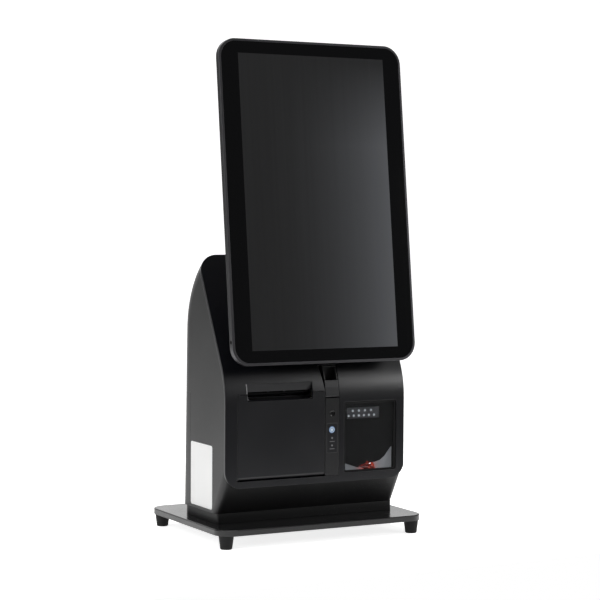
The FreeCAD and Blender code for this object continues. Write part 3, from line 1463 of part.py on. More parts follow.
def make_lever():
    """The cover lever: its face is as wide as the strip and laps over the strip's side walls."""
    lever = Piece("open_lever")
    top = lever_high
    lever.add("YZ", Polygon(
        (face, lever_pin_z), (brow_y(lever_bend), lever_bend), (brow_y(top), top), (brow_y(top) + 4.5, top),
        (brow_y(top) + 4.5, top - 2), (brow_y(top) + 2.4, top - 3), (lever_pin_y, lever_pin_z),
    ), strip_left, strip_right)
    lever.add("YZ", Circle(lever_pin_y, lever_pin_z, s.lever_depth - 0.05), strip_left, strip_right)
    lever.cut("YZ", Circle(lever_pin_y, lever_pin_z, s.lever_pin / 2 + s.run_gap), strip_left, strip_right)
    skin = s.lever_skin
    lap = Polygon(
        (face + skin, lever_pin_z), (brow_y(lever_bend) + skin, lever_bend), (brow_y(top) + skin, top),
        (brow_y(top) + skin, top + 1), (strip_back, top + 1), (strip_back, lever_low - 1),
        (lever_pin_y, lever_low - 1), (lever_pin_y, lever_pin_z),
    )
    turning = Circle(lever_pin_y, lever_pin_z, s.lever_depth - skin)
    side = s.strip_wall + s.move_gap
    for x in (strip_left, strip_right - side):
        lever.cut("YZ", lap, x, x + side)
        lever.cut("YZ", turning, x, x + side)
    keep(lever)
    start = -s.door_left - s.seam - 3.5
    pins = [
        ("door_pin", s.door_pin, start, strip_left + s.strip_wall, pin_y, pin_z),
        ("lever_pin", s.lever_pin, strip_left, strip_right, lever_pin_y, lever_pin_z),
    ]
    keep(group("cover_pins", [pin_along_x(*pin) for pin in pins]))


# ---------------------------------------------------------------- code scanner

frame_front_y = face + s.window_sink
well_left = s.window_left - 2
well_right = window_right + 2
room_left = well_left + s.well_wall
room_right = well_right - s.well_wall
hood_front = face + s.hood_back
snout_tip_x = window_right - s.snout_inset
snout_tip_z = window_low + s.snout_rise


def make_window():
    """The window frame with its clear pane behind the front border."""
    border = s.window_border
    pane_front = frame_front_y + 1.4
    ring = Piece("window_frame")
    left, low, right, high = s.window_left, window_low, window_right, window_high
    outer = Rounded(left, low, right, high, s.window_corner)
    ring.add("XZ", outer, frame_front_y, pane_front + s.pane_thick)
    ring.cut("XZ", Rounded(left + border, low + border, right - border, high - border, 1.5),
             frame_front_y, pane_front + s.pane_thick)
    ring.cut("XZ", box(left + 1, low + 1, right - 1, high - 1), pane_front, pane_front + s.pane_thick)
    ring.bevel(0.9, Edges(y=frame_front_y, x=(left + 1, right - 1), z=(low + 1, high - 1)))
    keep(ring)
    pane = Piece("scanner_window")
    pane.add("XZ", box(left + 1, low + 1, right - 1, high - 1), pane_front, pane_front + s.pane_thick)
    keep(pane)


def make_scanner():
    """The well behind the window with hood, lights, reflector, engine and aiming lens."""
    well = Piece("scanner_well")
    low = window_low - 2
    high = window_high + 2
    wall = s.well_wall
    back = cover_back + s.well_depth
    well.add("XZ", Rounded(well_left, low, well_right, high, 4), cover_back, back)
    well.cut("XZ", box(well_left + wall, low + wall, well_right - wall, high - wall),
             cover_back, back - wall)
    keep(well)
    hood_back = hood_front + s.hood_thick
    in_low = low + wall
    hood = Piece("scanner_hood")
    hood.add("XZ", Polygon(
        (room_left, high - wall), (room_left, snout_tip_z + s.snout_high), (snout_tip_x, snout_tip_z),
        (snout_tip_x + 11, snout_tip_z), (snout_tip_x + 18.5, snout_tip_z + 2),
        (snout_tip_x + 24.5, snout_tip_z + 6.4), (snout_tip_x + 32.5, snout_tip_z + 16.2),
        (room_right, snout_tip_z + 21.5), (room_right, high - wall),
    ), hood_front, hood_back)
    lights_left = s.window_left + s.light_bar_inset
    lights_right = lights_left + s.light_bar_width
    lights_high = window_high - s.light_bar_drop
    lights_low = lights_high - s.light_bar_height
    hood.cut("XZ", box(lights_left, lights_low, lights_right, lights_high), hood_front, hood_back)
    keep(hood)
    board = Piece("led_board")
    board.add("XZ", box(lights_left - 2, lights_low - 2, lights_right + 2, lights_high + 2),
              hood_back, hood_back + s.board_thick)
    led = s.led_size
    upper = box(lights_left + 7, lights_low + 8, lights_left + 7 + led, lights_low + 8 + led)
    lower = box(lights_left + 1.4, lights_low + 2.2, lights_left + 1.4 + led, lights_low + 2.2 + led)
    for outline, pitch, count in ((upper, 8.4, 4), (lower, 7.0, 6)):
        light = board.add("XZ", outline, hood_back - 1.1, hood_back)
        board.row(light, "X", pitch, count)
    keep(board)
    tray = Piece("reflector_tray")
    tray_back = hood_back + s.tray_depth
    sheet = s.tray_sheet
    tray_high = snout_tip_z + s.tray_rise
    tray.add("YZ", Polygon(
        (hood_front - sheet, in_low), (tray_back, in_low), (tray_back, tray_high),
        (tray_back - sheet, tray_high), (tray_back - sheet, in_low + sheet),
        (hood_front - sheet, in_low + sheet),
    ), room_left, room_right)
    keep(tray)
    engine = Piece("scan_engine")
    engine.add("XZ", Polygon(
        (room_left, snout_tip_z + s.snout_high), (room_left, snout_tip_z + s.snout_low),
        (s.window_left + s.snout_belly, snout_tip_z - s.snout_sag), (snout_tip_x, snout_tip_z),
    ), hood_front, tray_back - sheet)
    engine_left = s.window_left + s.engine_inset
    engine_low = snout_tip_z + s.engine_low
    engine.add("XZ", box(engine_left, engine_low, engine_left + s.engine_width, engine_low + s.engine_height),
               hood_back, tray_back - sheet)
    keep(engine)
    lens = Piece("aimer_lens")
    lens_low = in_low + sheet
    lens_left = snout_tip_x + s.lens_middle - s.lens_width / 2
    lens_front = hood_front - s.lens_front
    outline = Rounded(lens_left, lens_low, lens_left + s.lens_width, lens_low + s.lens_size, s.lens_size * 0.48)
    lens.add("XZ", outline, lens_front, tray_back - sheet)
    lens.bevel(1.0, Edges(y=lens_front))
    keep(lens)


# ---------------------------------------------------------------- chassis and electronics

seat_low = pivot_z - s.seat_below
seat_high = pivot_z + s.seat_above
shelf_z = pivot_z - s.shelf_below
floor_top = floor + s.wall + s.chassis_thick
bay_x = [s.socket_pitch * place for place in (-1.5, -0.5, 0.5, 1.5)]
bay_z = (bay_low + bay_high) / 2


def make_chassis(hinge_bores):
    """Bent sheet chassis: floor, upright and the slanted seat that carries the hinge bracket."""
    chassis = Piece("chassis_sheet")
    low = floor + s.wall
    thick = s.chassis_thick
    chassis.add("XY", box(-s.floor_half, floor_front, s.floor_half, floor_back), low, floor_top)
    chassis.add("YZ", box(upright_front, low, upright_back, shelf_z + thick), -s.chassis_half, s.chassis_half)
    chassis.add("YZ", Polygon(
        (panel_y(seat_low, s.cover_thick), seat_low), (panel_y(seat_low, s.cover_thick + thick), seat_low),
        (panel_y(seat_high, s.cover_thick + thick), seat_high), (panel_y(seat_high, s.cover_thick), seat_high),
    ), -s.hinge_plate_half, s.hinge_plate_half)
    rib = Polygon(
        (panel_y(seat_low, s.cover_thick + thick / 2), seat_low), (upright_front, seat_low),
        (upright_front, shelf_z + thick),
        (panel_y(shelf_z + thick, s.cover_thick + thick / 2), shelf_z + thick),
    )
    for x in (-s.hinge_plate_half, s.hinge_plate_half - thick):
        chassis.add("YZ", rib, x, x + thick)
    chassis.add("YZ", Polygon(
        (panel_y(shelf_z, s.cover_thick + thick / 2), shelf_z), (upright_back, shelf_z),
        (upright_back, shelf_z + thick), (panel_y(shelf_z + thick, s.cover_thick + thick / 2), shelf_z + thick),
    ), -s.hinge_plate_half, s.hinge_plate_half)
    chassis.cut("XY", [Circle(x, y, s.foot_bore / 2) for x, y in plinth_screw_spots()], low, floor_top)
    chassis.cut("XZ", [Circle(x, z, s.screw_size / 2) for x, z in rear_screw_spots()],
                upright_front, upright_back)
    keep(less("chassis", chassis, hinge_bores))


def make_main_board():
    """The main board on its standoffs, with heat sink and sockets."""
    board = Piece("main_board")
    low = floor + s.board_rise
    high = low + s.board_height
    front = upright_back + s.standoff
    back = front + s.board_thick
    reach = s.board_half
    board.add("XZ", box(-reach, low, reach, high), front, back)
    posts = [Circle(x, z, 2.5) for x in (5 - reach, reach - 5) for z in (low + 5, high - 5)]
    board.add("XZ", posts, upright_back, front)
    sink = s.heat_sink / 2
    middle = high - 15 - sink
    fins = 8
    fin_thick = 1.4
    board.add("XZ", box(-sink, middle - sink, sink, middle + sink), back, back + 2)
    fin = board.add("XZ", box(-sink, middle - sink, fin_thick - sink, middle + sink), back, back + 9)
    board.row(fin, "X", (s.heat_sink - fin_thick) / (fins - 1), fins)
    left = 8 - reach
    transformer = box(left, low + 12, left + 16, low + 22)
    memory = box(left, low + 60, left + 12, low + 94)
    connector = box(reach - 24, low + 20, reach - 10, low + 50)
    for outline, depth in ((transformer, 6), (memory, 4), (connector, 5)):
        board.add("XZ", outline, back, back + depth)
    keep(board)


def make_sockets():
    """The socket plate in the rear bay, and what it holds."""
    plate_front = floor_back - s.socket_plate_sheet
    panel = Piece("socket_plate")
    reach = s.socket_bay_half + s.socket_plate_over
    foot = plate_front - s.socket_plate_foot
    panel.add("XZ", box(-reach, floor_top, reach, bay_high + s.socket_plate_over), plate_front, floor_back)
    panel.add("XY", box(-reach, foot, reach, floor_back), floor_top, floor_top + s.socket_plate_sheet * 0.75)
    power_x, network_x, data_x, switch_x = bay_x
    inlet = (6.5, 6.5)
    network = (8.2, 7.1)
    data = (7.2, 8.0)
    rocker = (6.6, 10.2)
    for x, (across, up) in zip(bay_x, (inlet, network, data, rocker)):
        panel.cut("XZ", box(x - across, bay_z - up, x + across, bay_z + up), plate_front, floor_back)
    keep(panel)
    front = floor_back + 1.2

    inlet_socket = Piece("power_inlet_body")
    across, up = inlet
    inlet_socket.add("XZ", box(power_x - across, bay_z - up, power_x + across, bay_z + up), front - 15, front)
    inlet_socket.cut("XZ", Circle(power_x, bay_z, 3.4), front - 10, front)
    inlet_socket.add("XZ", Circle(power_x, bay_z, 1.0), front - 10.5, front - 1)

    lan = Piece("network_socket_shell")
    across, up = network
    lan.add("XZ", box(network_x - across, bay_z - up, network_x + across, bay_z + up), front - 21, front)
    lan.cut("XZ", box(network_x - 6, bay_z - 3.5, network_x + 6, bay_z + 4.5), front - 13, front)
    lan.cut("XZ", box(network_x - 3, bay_z - 5.5, network_x + 3, bay_z - 3.5), front - 13, front)
    usb = Piece("usb_socket_shell")
    across, up = data
    usb.add("XZ", box(data_x - across, bay_z - up, data_x + across, bay_z + up), front - 17, front)
    for z in (bay_z - 6.6, bay_z + 1.2):
        usb.cut("XZ", box(data_x - 6.3, z, data_x + 6.3, z + 5.4), front - 12, front)
        usb.add("XZ", box(data_x - 5.4, z + 3, data_x + 5.4, z + 4.6), front - 13, front - 1.5)
    keep(group("data_sockets", [lan, usb]))

    holder = Piece("switch_frame")
    across, up = rocker
    holder.add("XZ", box(switch_x - across, bay_z - up, switch_x + across, bay_z + up), front - 15, front)
    holder.add("XZ", box(switch_x - across - 1.5, bay_z - up - 1.5, switch_x + across + 1.5, bay_z + up + 1.5),
               floor_back, front)
    holder.cut("XZ", box(switch_x - 5.2, bay_z - 9, switch_x + 5.2, bay_z + 9), front - 8.5, front)
    keep(group("power_inlet", [inlet_socket, holder]))
    button = Piece("power_rocker")
    button.add("YZ", Polygon(
        (3.0, 0), (4.6, 8.0), (-3, 7.2), (-3, -7.2), (4.6, -8.0),
    ), switch_x - 4.8, switch_x + 4.8)
    button.add("YZ", Circle(0, 0, 1.2), switch_x - 5.15, switch_x + 5.15)
    button.place(0, front - 3.0, bay_z, (1, 0, 0), 7)
    keep(button)


# ---------------------------------------------------------------- tilt hinge

lug_low = s.bracket_lug
lug_high = s.bracket_lug + s.lug_thick
arm_low = lug_high + s.lug_gap
arm_high = arm_low + s.lug_thick


def leaned(x, y, z, angle):
    """Where a point lies that is given in a frame leaned back about the tilt hinge line."""
    return (x, pivot_y + y * cos(angle) + z * sin(angle), pivot_z - y * sin(angle) + z * cos(angle))


def make_hinge_bracket():
    """The fixed bracket on the slanted panel, its pin, washers and screws."""
    bracket = Piece("hinge_bracket")
    back = s.hinge_standoff
    front = back - s.bracket_plate
    bracket.add("XZ", Rounded(-s.bracket_half, -s.bracket_rise, s.bracket_half, s.bracket_rise, 5), front, back)
    lug = Polygon((0, -s.lug_radius), (front + 1, -s.bracket_rise + 6),
                  (front + 1, s.bracket_rise - 6), (0, s.lug_radius))
    for x in (-lug_high, lug_low):
        bracket.add("YZ", lug, x, x + s.lug_thick)
        bracket.add("YZ", Circle(0, 0, s.lug_radius), x, x + s.lug_thick)
    bracket.cut("YZ", Circle(0, 0, s.hinge_pin / 2), -lug_high, lug_high)
    bracket.cut("XZ", [Circle(x, z, s.foot_bore / 2) for x, z in hinge_screw_spots], front, back)
    bracket.place(0, pivot_y, pivot_z, angle=s.panel_lean)
    keep(bracket)
    pin = Piece("hinge_pin_shaft")
    pin.add("YZ", Circle(0, 0, s.hinge_pin / 2), -arm_high - 1, arm_high + 1)
    for x in (-arm_high - 3, arm_high + 0.5):
        pin.add("YZ", Circle(0, 0, s.hinge_pin * 0.72), x, x + 2.5)
    pin.body.Label = "hinge_pin"
    pin.place(0, pivot_y, pivot_z, angle=s.panel_lean)
    keep(pin)
    washers = []
    for n, x in enumerate((-lug_high - s.lug_gap + 0.3, lug_high)):
        washer = Piece(f"friction_washer_{n}")
        washer.add("YZ", [Circle(0, 0, s.lug_radius - 0.5), Circle(0, 0, s.hinge_pin / 2)],
                   x, x + s.lug_gap - 0.3)
        washer.place(0, pivot_y, pivot_z, angle=s.panel_lean)
        washers.append(washer)
    keep(group("friction_washers", washers))
    length = s.bracket_plate + s.cover_thick + s.chassis_thick + 1.5
    screws = [
        screw_at(f"hinge_screw_{n}", leaned(x, front, z, s.panel_lean), s.panel_lean - 90, large_screw, length)
        for n, (x, z) in enumerate(hinge_screw_spots)
    ]
    keep(group("hinge_screws", screws))


# ---------------------------------------------------------------- display head

head_left = -s.head_width / 2
head_right = s.head_width / 2
head_low = s.head_rise - s.head_height / 2
head_high = s.head_rise + s.head_height / 2
glass_front = -s.glass_reach
glass_back = glass_front + s.glass_thick
ledge = glass_back + s.gasket_thick
frame_back = glass_front + s.rim_depth
flat_back = frame_back + s.back_depth


back_screw_spots = [
    (x, z) for x in (head_left + s.back_screw_inset, head_right - s.back_screw_inset)
    for z in (head_low + s.back_screw_inset, head_high - s.back_screw_inset)
]
arm_screw_z = s.arm_rise - s.plate_hole_inset
arm_screw_spots = [(x, z) for x in (-s.arm_screw_half, s.arm_screw_half) for z in (-arm_screw_z, arm_screw_z)]


def inset_rectangle(inset, radius):
    return Rounded(head_left + inset, head_low + inset, head_right - inset, head_high - inset, radius)


def lean(piece):
    piece.place(0, pivot_y, pivot_z, angle=s.head_lean)
    keep(piece)


def make_display_front():
    """The metal frame, the cover glass on its gasket, and the display panel."""
    frame = Piece("display_frame")
    rim = s.rim_width
    frame.add("XZ", inset_rectangle(0, s.head_corner), glass_front, frame_back)
    frame.bevel(s.rim_edge, Edges(y=glass_front), Edges(y=frame_back))
    frame.cut("XZ", inset_rectangle(rim, s.head_corner - rim), glass_front, ledge)
    frame.cut("XZ", inset_rectangle(rim + s.rim_ledge, 2), ledge, frame_back)
    hole = Circle(frame_back - 3.6, s.head_rise - 160, 1.1)
    frame.cut("YZ", hole, head_left, head_left + 2)
    lean(frame)
    glass = Piece("cover_glass")
    fit = 0.15
    glass.add("XZ", inset_rectangle(rim + fit, s.head_corner - rim - fit), glass_front, glass_back)
    lean(glass)
    gasket = Piece("glass_gasket")
    gasket.add("XZ", [inset_rectangle(rim + 0.4, s.head_corner - rim - 0.4),
                      inset_rectangle(rim + s.rim_ledge - 0.4, 2)], glass_back, ledge)
    lean(gasket)
    panel = Piece("lcd_panel")
    middle = s.head_rise
    back = glass_back + s.lcd_thick
    panel.add("XZ", box(-s.lcd_width / 2, middle - s.lcd_height / 2, s.lcd_width / 2,
                        middle + s.lcd_height / 2), glass_back, back)
    driver = middle + s.driver_rise
    panel.add("XZ", box(-s.driver_half, driver - s.driver_height / 2, s.driver_half,
                        driver + s.driver_height / 2), back, back + s.driver_thick)
    panel.cut("XZ", [Circle(x, z, s.screw_size / 2) for x, z in back_screw_spots + arm_screw_spots],
              back - 2.5, back)
    lean(panel)


def make_display_back():
    """The tapered back cover with its screw posts, the hinge arm and their screws."""
    cover = Piece("back_cover")
    wall = s.wall
    seam = s.back_seam
    cover.loft("XZ", [(inset_rectangle(seam, s.head_corner - seam), frame_back),
                      (inset_rectangle(seam + s.back_inset, s.back_corner), flat_back)])
    inner = seam + wall
    cover.loft("XZ", [(inset_rectangle(inner, s.head_corner - inner), frame_back),
                      (inset_rectangle(inner + s.back_inset, s.back_corner - wall), flat_back - wall)],
               taking=True)
    posts = [Circle(x, z, s.post_radius) for x, z in back_screw_spots + arm_screw_spots]
    cover.add("XZ", posts, frame_back, flat_back - wall / 2)
    seats = [Circle(x, z, s.screw_head / 2 + 0.4) for x, z in back_screw_spots]
    cover.cut("XZ", seats, flat_back - s.screw_head_height - 0.4, flat_back)
    bores = [Circle(x, z, s.screw_size / 2) for x, z in back_screw_spots + arm_screw_spots]
    cover.cut("XZ", bores, frame_back, flat_back)
    low = s.head_rise + s.back_vent_rise
    vent = box(-s.back_vent_half, low, s.back_vent_half, low + s.back_vent)
    slots = cover.cut("XZ", vent, flat_back - wall, flat_back)
    cover.row(slots, "Z", s.back_vent_pitch, 6)
    lean(cover)

    arm = Piece("hinge_arm")
    back = flat_back + s.arm_plate
    arm.add("XZ", Rounded(-s.hinge_plate_half, -s.arm_rise, s.hinge_plate_half, s.arm_rise, 5), flat_back, back)
    lug = Polygon((0, -s.lug_radius), (back - 1, -s.arm_rise + 12),
                  (back - 1, s.arm_rise - 12), (0, s.lug_radius))
    for x in (-arm_high, arm_low):
        arm.add("YZ", lug, x, x + s.lug_thick)
        arm.add("YZ", Circle(0, 0, s.lug_radius), x, x + s.lug_thick)
    arm.cut("YZ", Circle(0, 0, s.hinge_pin / 2 + s.run_gap), -arm_high, arm_high)
    arm.cut("XZ", [Circle(x, z, s.screw_size / 2) for x, z in arm_screw_spots], flat_back, back)
    lean(arm)

    screws = []
    sunk = flat_back - s.screw_head_height - 0.4
    for kind, spots, seat in (("back", back_screw_spots, sunk), ("arm", arm_screw_spots, back)):
        for n, (x, z) in enumerate(spots):
            screws.append(screw_at(f"{kind}_screw_{n}", leaned(x, seat, z, s.head_lean), 90 + s.head_lean,
                                   small_screw, seat - frame_back + 2))
    keep(group("display_screws", screws))


# ---------------------------------------------------------------- build and write


def write_parts():
    """Check every object and sub-part, then write each sub-part's STEP file."""
    doc.recompute()
    for thing in doc.Objects:
        if {"Invalid", "Error"} & set(thing.State):
            raise ValueError(f"{thing.Label} failed: {thing.State}")
    os.makedirs("parts", exist_ok=True)
    for thing in made:
        shape = thing.Shape
        if shape.isNull() or not shape.isValid() or not shape.Solids:
            raise ValueError(f"{thing.Label} has no valid solid")
        shape.exportStep(f"parts/{thing.Label}.step")
        box_now = shape.BoundBox
        print(f"{thing.Label:22s} {len(shape.Solids)} solids {shape.Volume / 1000:8.2f} cm3",
              f"z {box_now.ZMin:.1f} to {box_now.ZMax:.1f}")


make_base_plate()
make_plinth(make_feet())
make_housing()
hinge_bores = make_hinge_bores()
make_front_cover(hinge_bores)
make_exit_guide()
make_door()
make_door_liner()
make_platen()
make_feed_gears()
make_printer_frame()
make_roll_bucket()
make_thermal_head()
make_cutter()
make_control_strip()
make_indicators()
make_button("feed_button", feed_z, s.feed_size, s.feed_sink)
make_button("power_button", power_z, s.power_size, s.power_sink)
make_button_board()
make_lever()
make_window()
make_scanner()
make_chassis(hinge_bores)
make_main_board()
make_sockets()
make_hinge_bracket()
make_display_front()
make_display_back()
write_parts()
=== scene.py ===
import bpy
import bmesh
import math
import numpy as np
from mathutils import Matrix, Vector


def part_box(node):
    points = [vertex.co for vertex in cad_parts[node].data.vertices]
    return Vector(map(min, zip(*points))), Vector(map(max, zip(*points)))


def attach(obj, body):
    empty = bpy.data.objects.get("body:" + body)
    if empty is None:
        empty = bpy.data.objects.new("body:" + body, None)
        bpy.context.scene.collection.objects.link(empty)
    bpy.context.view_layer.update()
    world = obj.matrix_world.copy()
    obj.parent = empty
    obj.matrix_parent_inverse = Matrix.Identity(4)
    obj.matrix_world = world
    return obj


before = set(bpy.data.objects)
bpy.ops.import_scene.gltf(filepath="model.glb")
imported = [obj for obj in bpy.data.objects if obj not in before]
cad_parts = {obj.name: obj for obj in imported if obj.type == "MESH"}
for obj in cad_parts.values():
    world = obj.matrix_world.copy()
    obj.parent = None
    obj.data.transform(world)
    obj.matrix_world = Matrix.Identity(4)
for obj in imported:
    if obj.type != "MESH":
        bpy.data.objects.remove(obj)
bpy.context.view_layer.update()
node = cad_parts

# ---------------------------------------------------------------- studio
# A seamless white paper floor that sweeps up behind the kiosk, soft boxes at both sides,
# above, behind and low at the front right, and a long lens from the front left.


def surface(name, grid, round_u=False, round_v=False, smooth=True):
    """A mesh from a grid of points: quads between neighbours along u (rows) and v (columns).

    Row or column ends are joined where a parameter goes round; doubled points are merged
    and the faces turned outwards.
    """
    rows, columns = grid.shape[:2]
    index = np.arange(rows * columns).reshape(rows, columns)
    if round_u:
        index = np.vstack([index, index[:1]])
    if round_v:
        index = np.hstack([index, index[:, :1]])
    corners = (index[:-1, :-1], index[1:, :-1], index[1:, 1:], index[:-1, 1:])
    quads = np.stack(corners, axis=-1).reshape(-1, 4)
    mesh = bpy.data.meshes.new(name)
    mesh.from_pydata(grid.reshape(-1, 3).tolist(), [], quads.tolist())
    shell = bmesh.new()
    shell.from_mesh(mesh)
    bmesh.ops.remove_doubles(shell, verts=shell.verts, dist=1e-7)
    bmesh.ops.recalc_face_normals(shell, faces=shell.faces)
    shell.to_mesh(mesh)
    shell.free()
    mesh.polygons.foreach_set("use_smooth", np.full(len(mesh.polygons), smooth))
    piece = bpy.data.objects.new(name, mesh)
    bpy.context.scene.collection.objects.link(piece)
    return piece


def fill(made, **sockets):
    """Fill a shader node's inputs: i0, i1... by number, any other by its name with _ for a space.

    A value is set, and another node's output is linked.
    """
    for name, value in sockets.items():
        by_number = name[0] == "i" and name[1:].isdigit()
        target = made.inputs[int(name[1:]) if by_number else name.replace("_", " ")]
        if isinstance(value, bpy.types.NodeSocket):
            made.id_data.links.new(value, target)
        else:
            target.default_value = value
    return made


def node_in(tree, kind, operation=None, **sockets):
    """A new shader node in a tree, with its operation where it has one, and its inputs filled."""
    made = tree.nodes.new(kind)
    if operation:
        made.operation = operation
    return fill(made, **sockets)


def math_in(tree, operation, *terms):
    """The result of a Math node on one to three terms, each a number or a node's output."""
    inputs = {f"i{place}": term for place, term in enumerate(terms)}
    return node_in(tree, "ShaderNodeMath", operation, **inputs).outputs[0]


def new_material(name):
    """A material, its node tree and the Principled shader in it."""
    made = bpy.data.materials.new(name)
    made.use_nodes = True
    return made, made.node_tree, made.node_tree.nodes["Principled BSDF"]


def sweep_floor(left, right, front, back, radius, top):
    """The paper: level at z = 0, then a quarter circle up and a straight rise; x is across."""
    level = np.linspace(front, back, 30)
    turn = np.linspace(0, math.pi / 2, 24)[1:]
    climb = np.linspace(radius, top, 12)[1:]
    y = np.concatenate([level, back + radius * np.sin(turn), np.full(len(climb), back + radius)])
    z = np.concatenate([level * 0, radius * (1 - np.cos(turn)), climb])
    x = np.linspace(left, right, 24)
    grid = np.empty((len(y), len(x), 3))
    grid[..., 0] = x[None, :]
    grid[..., 1] = y[:, None]
    grid[..., 2] = z[:, None]
    return surface("paper_floor", grid)


paper_white = (0.93, 0.93, 0.93, 1)
paper_lift = 0.80  # the paper's own light, for the camera, reflections and glass alone
world_light = 0.14  # low, so that black plastic stays black; the camera sees plain white
plain_white = (1, 1, 1, 1)

floor = sweep_floor(left=-1.15, right=3.8, front=-0.30, back=2.6, radius=0.9, top=3.0)
paper, tree, shader = new_material("studio_paper")
rays = tree.nodes.new("ShaderNodeLightPath").outputs
seen = math_in(tree, "MAXIMUM", rays["Is Camera Ray"], rays["Is Glossy Ray"])
seen = math_in(tree, "MAXIMUM", seen, rays["Is Transmission Ray"])
fill(shader, Base_Color=paper_white, Roughness=0.9, Specular_IOR_Level=0.0,
     Emission_Color=plain_white, Emission_Strength=math_in(tree, "MULTIPLY", seen, paper_lift))
floor.data.materials.append(paper)

world = bpy.data.worlds.new("studio")
bpy.context.scene.world = world
world.use_nodes = True
tree = world.node_tree
tree.nodes.clear()
rays = tree.nodes.new("ShaderNodeLightPath").outputs
dim = node_in(tree, "ShaderNodeBackground", Color=plain_white, Strength=world_light)
white = node_in(tree, "ShaderNodeBackground", Color=plain_white, Strength=1.0)
mix = node_in(tree, "ShaderNodeMixShader", i0=rays["Is Camera Ray"], i1=dim.outputs[0],
              i2=white.outputs[0])
node_in(tree, "ShaderNodeOutputWorld", Surface=mix.outputs[0])


def soft_box(name, spot, aim, width, height, watts):
    """A rectangular soft box at a spot, facing another."""
    lamp = bpy.data.lights.new(name, "AREA")
    lamp.shape = "RECTANGLE"
    lamp.size = width
    lamp.size_y = height
    lamp.energy = watts
    holder = bpy.data.objects.new(name, lamp)
    bpy.context.scene.collection.objects.link(holder)
    holder.location = spot
    holder.rotation_euler = (Vector(aim) - Vector(spot)).to_track_quat("-Z", "Y").to_euler()


soft_box("soft_box_left", (-2.6, -0.9, 1.3), (0, 0, 0.25), width=1.2, height=1.6, watts=38)
soft_box("soft_box_right", (2.4, -1.7, 1.5), (0, 0, 0.3), width=1.0, height=1.6, watts=6.5)
soft_box("soft_box_top", (0.0, -0.6, 2.6), (0, 0, 0.2), width=2.2, height=1.4, watts=32)
soft_box("soft_box_back", (0.0, 1.4, 2.4), (0, 0, 0.2), width=2.0, height=1.2, watts=24)
soft_box("soft_box_brow", (1.045, -1.14, 0.59), (0.06, -0.07, 0.18), width=0.36, height=0.30, watts=4)

yaw = math.radians(28.35)
pitch = math.radians(-2.727)
roll = math.radians(0.32)
eye = (-1.0494, -1.9786, 0.3860)
ahead = Vector((math.sin(yaw) * math.cos(pitch), math.cos(yaw) * math.cos(pitch), math.sin(pitch)))
right = Vector((math.cos(yaw), -math.sin(yaw), 0))
up = right.cross(ahead)
right_rolled = math.cos(roll) * right + math.sin(roll) * up
up_rolled = math.cos(roll) * up - math.sin(roll) * right
lens = bpy.data.cameras.new("camera")
lens.lens = 111.09
lens.sensor_width = 36
lens.clip_end = 50
camera = bpy.data.objects.new("camera", lens)
bpy.context.scene.collection.objects.link(camera)
facing = Matrix((right_rolled, up_rolled, -ahead)).transposed().to_4x4()
camera.matrix_world = Matrix.Translation(eye) @ facing
bpy.context.scene.camera = camera
bpy.context.scene.view_settings.view_transform = "Standard"

# ---------------------------------------------------------------- base plate and feet
# A 7 mm steel plate with round corners, sprayed with satin black powder, on four moulded
# rubber feet that are held by screws from below.


def mix_in(tree, share, first, second):
    """The result of a colour mix: first at share 0, second at share 1, each a colour or an output."""
    made = tree.nodes.new("ShaderNodeMix")
    made.data_type = "RGBA"
    return fill(made, Factor=share, i6=first, i7=second).outputs[2]


def grain_group():
    """Fine grain of a moulded or sprayed skin, put out as Color, Roughness and Height.

    Height is fine noise. Colour and roughness drift slowly round their own values by the
    mottle share, and sparse bright flecks, in the patches where the drift is high, are dust.
    """
    drift_scale = 9.0
    colour_swing = 4.0
    roughness_swing = 1.6
    speck_scale = 420.0
    speck_radius = 0.10
    dusty_above = 0.56
    dust_grey = (0.35, 0.34, 0.33, 1)
    group = bpy.data.node_groups.new("skin_grain", "ShaderNodeTree")
    number = "NodeSocketFloat"
    inputs = {"Vector": "NodeSocketVector", "Color": "NodeSocketColor", "Roughness": number,
              "Grain": number, "Mottle": number, "Dust": number}
    outputs = {"Color": "NodeSocketColor", "Roughness": number, "Height": number}
    for way, sockets in (("INPUT", inputs), ("OUTPUT", outputs)):
        for label, kind in sockets.items():
            group.interface.new_socket(label, in_out=way, socket_type=kind)
    given = group.nodes.new("NodeGroupInput").outputs
    fine = node_in(group, "ShaderNodeTexNoise", Vector=given["Vector"], Scale=given["Grain"],
                   Detail=3.0, Roughness=0.6).outputs[0]
    slow = node_in(group, "ShaderNodeTexNoise", Vector=given["Vector"], Scale=drift_scale,
                   Detail=4.0, Roughness=0.55).outputs[0]
    drift = math_in(group, "MULTIPLY", math_in(group, "SUBTRACT", slow, 0.5), given["Mottle"])
    gain = math_in(group, "MULTIPLY_ADD", drift, colour_swing, 1.0)
    tint = node_in(group, "ShaderNodeVectorMath", "SCALE", i0=given["Color"], Scale=gain)
    specks = node_in(group, "ShaderNodeTexVoronoi", Vector=given["Vector"], Scale=speck_scale)
    near = math_in(group, "LESS_THAN", specks.outputs["Distance"], speck_radius)
    speck = math_in(group, "MULTIPLY", near, math_in(group, "GREATER_THAN", slow, dusty_above))
    dust = math_in(group, "MULTIPLY", speck, given["Dust"])
    node_in(group, "NodeGroupOutput", Color=mix_in(group, dust, tint.outputs[0], dust_grey),
            Roughness=math_in(group, "MULTIPLY_ADD", drift, roughness_swing, given["Roughness"]),
            Height=fine)
    return group


skin_grain = grain_group()


def place_in(tree):
    """Object coordinates, which are the kiosk's own in metres, because every piece sits at the origin."""
    return tree.nodes.new("ShaderNodeTexCoord").outputs["Object"]


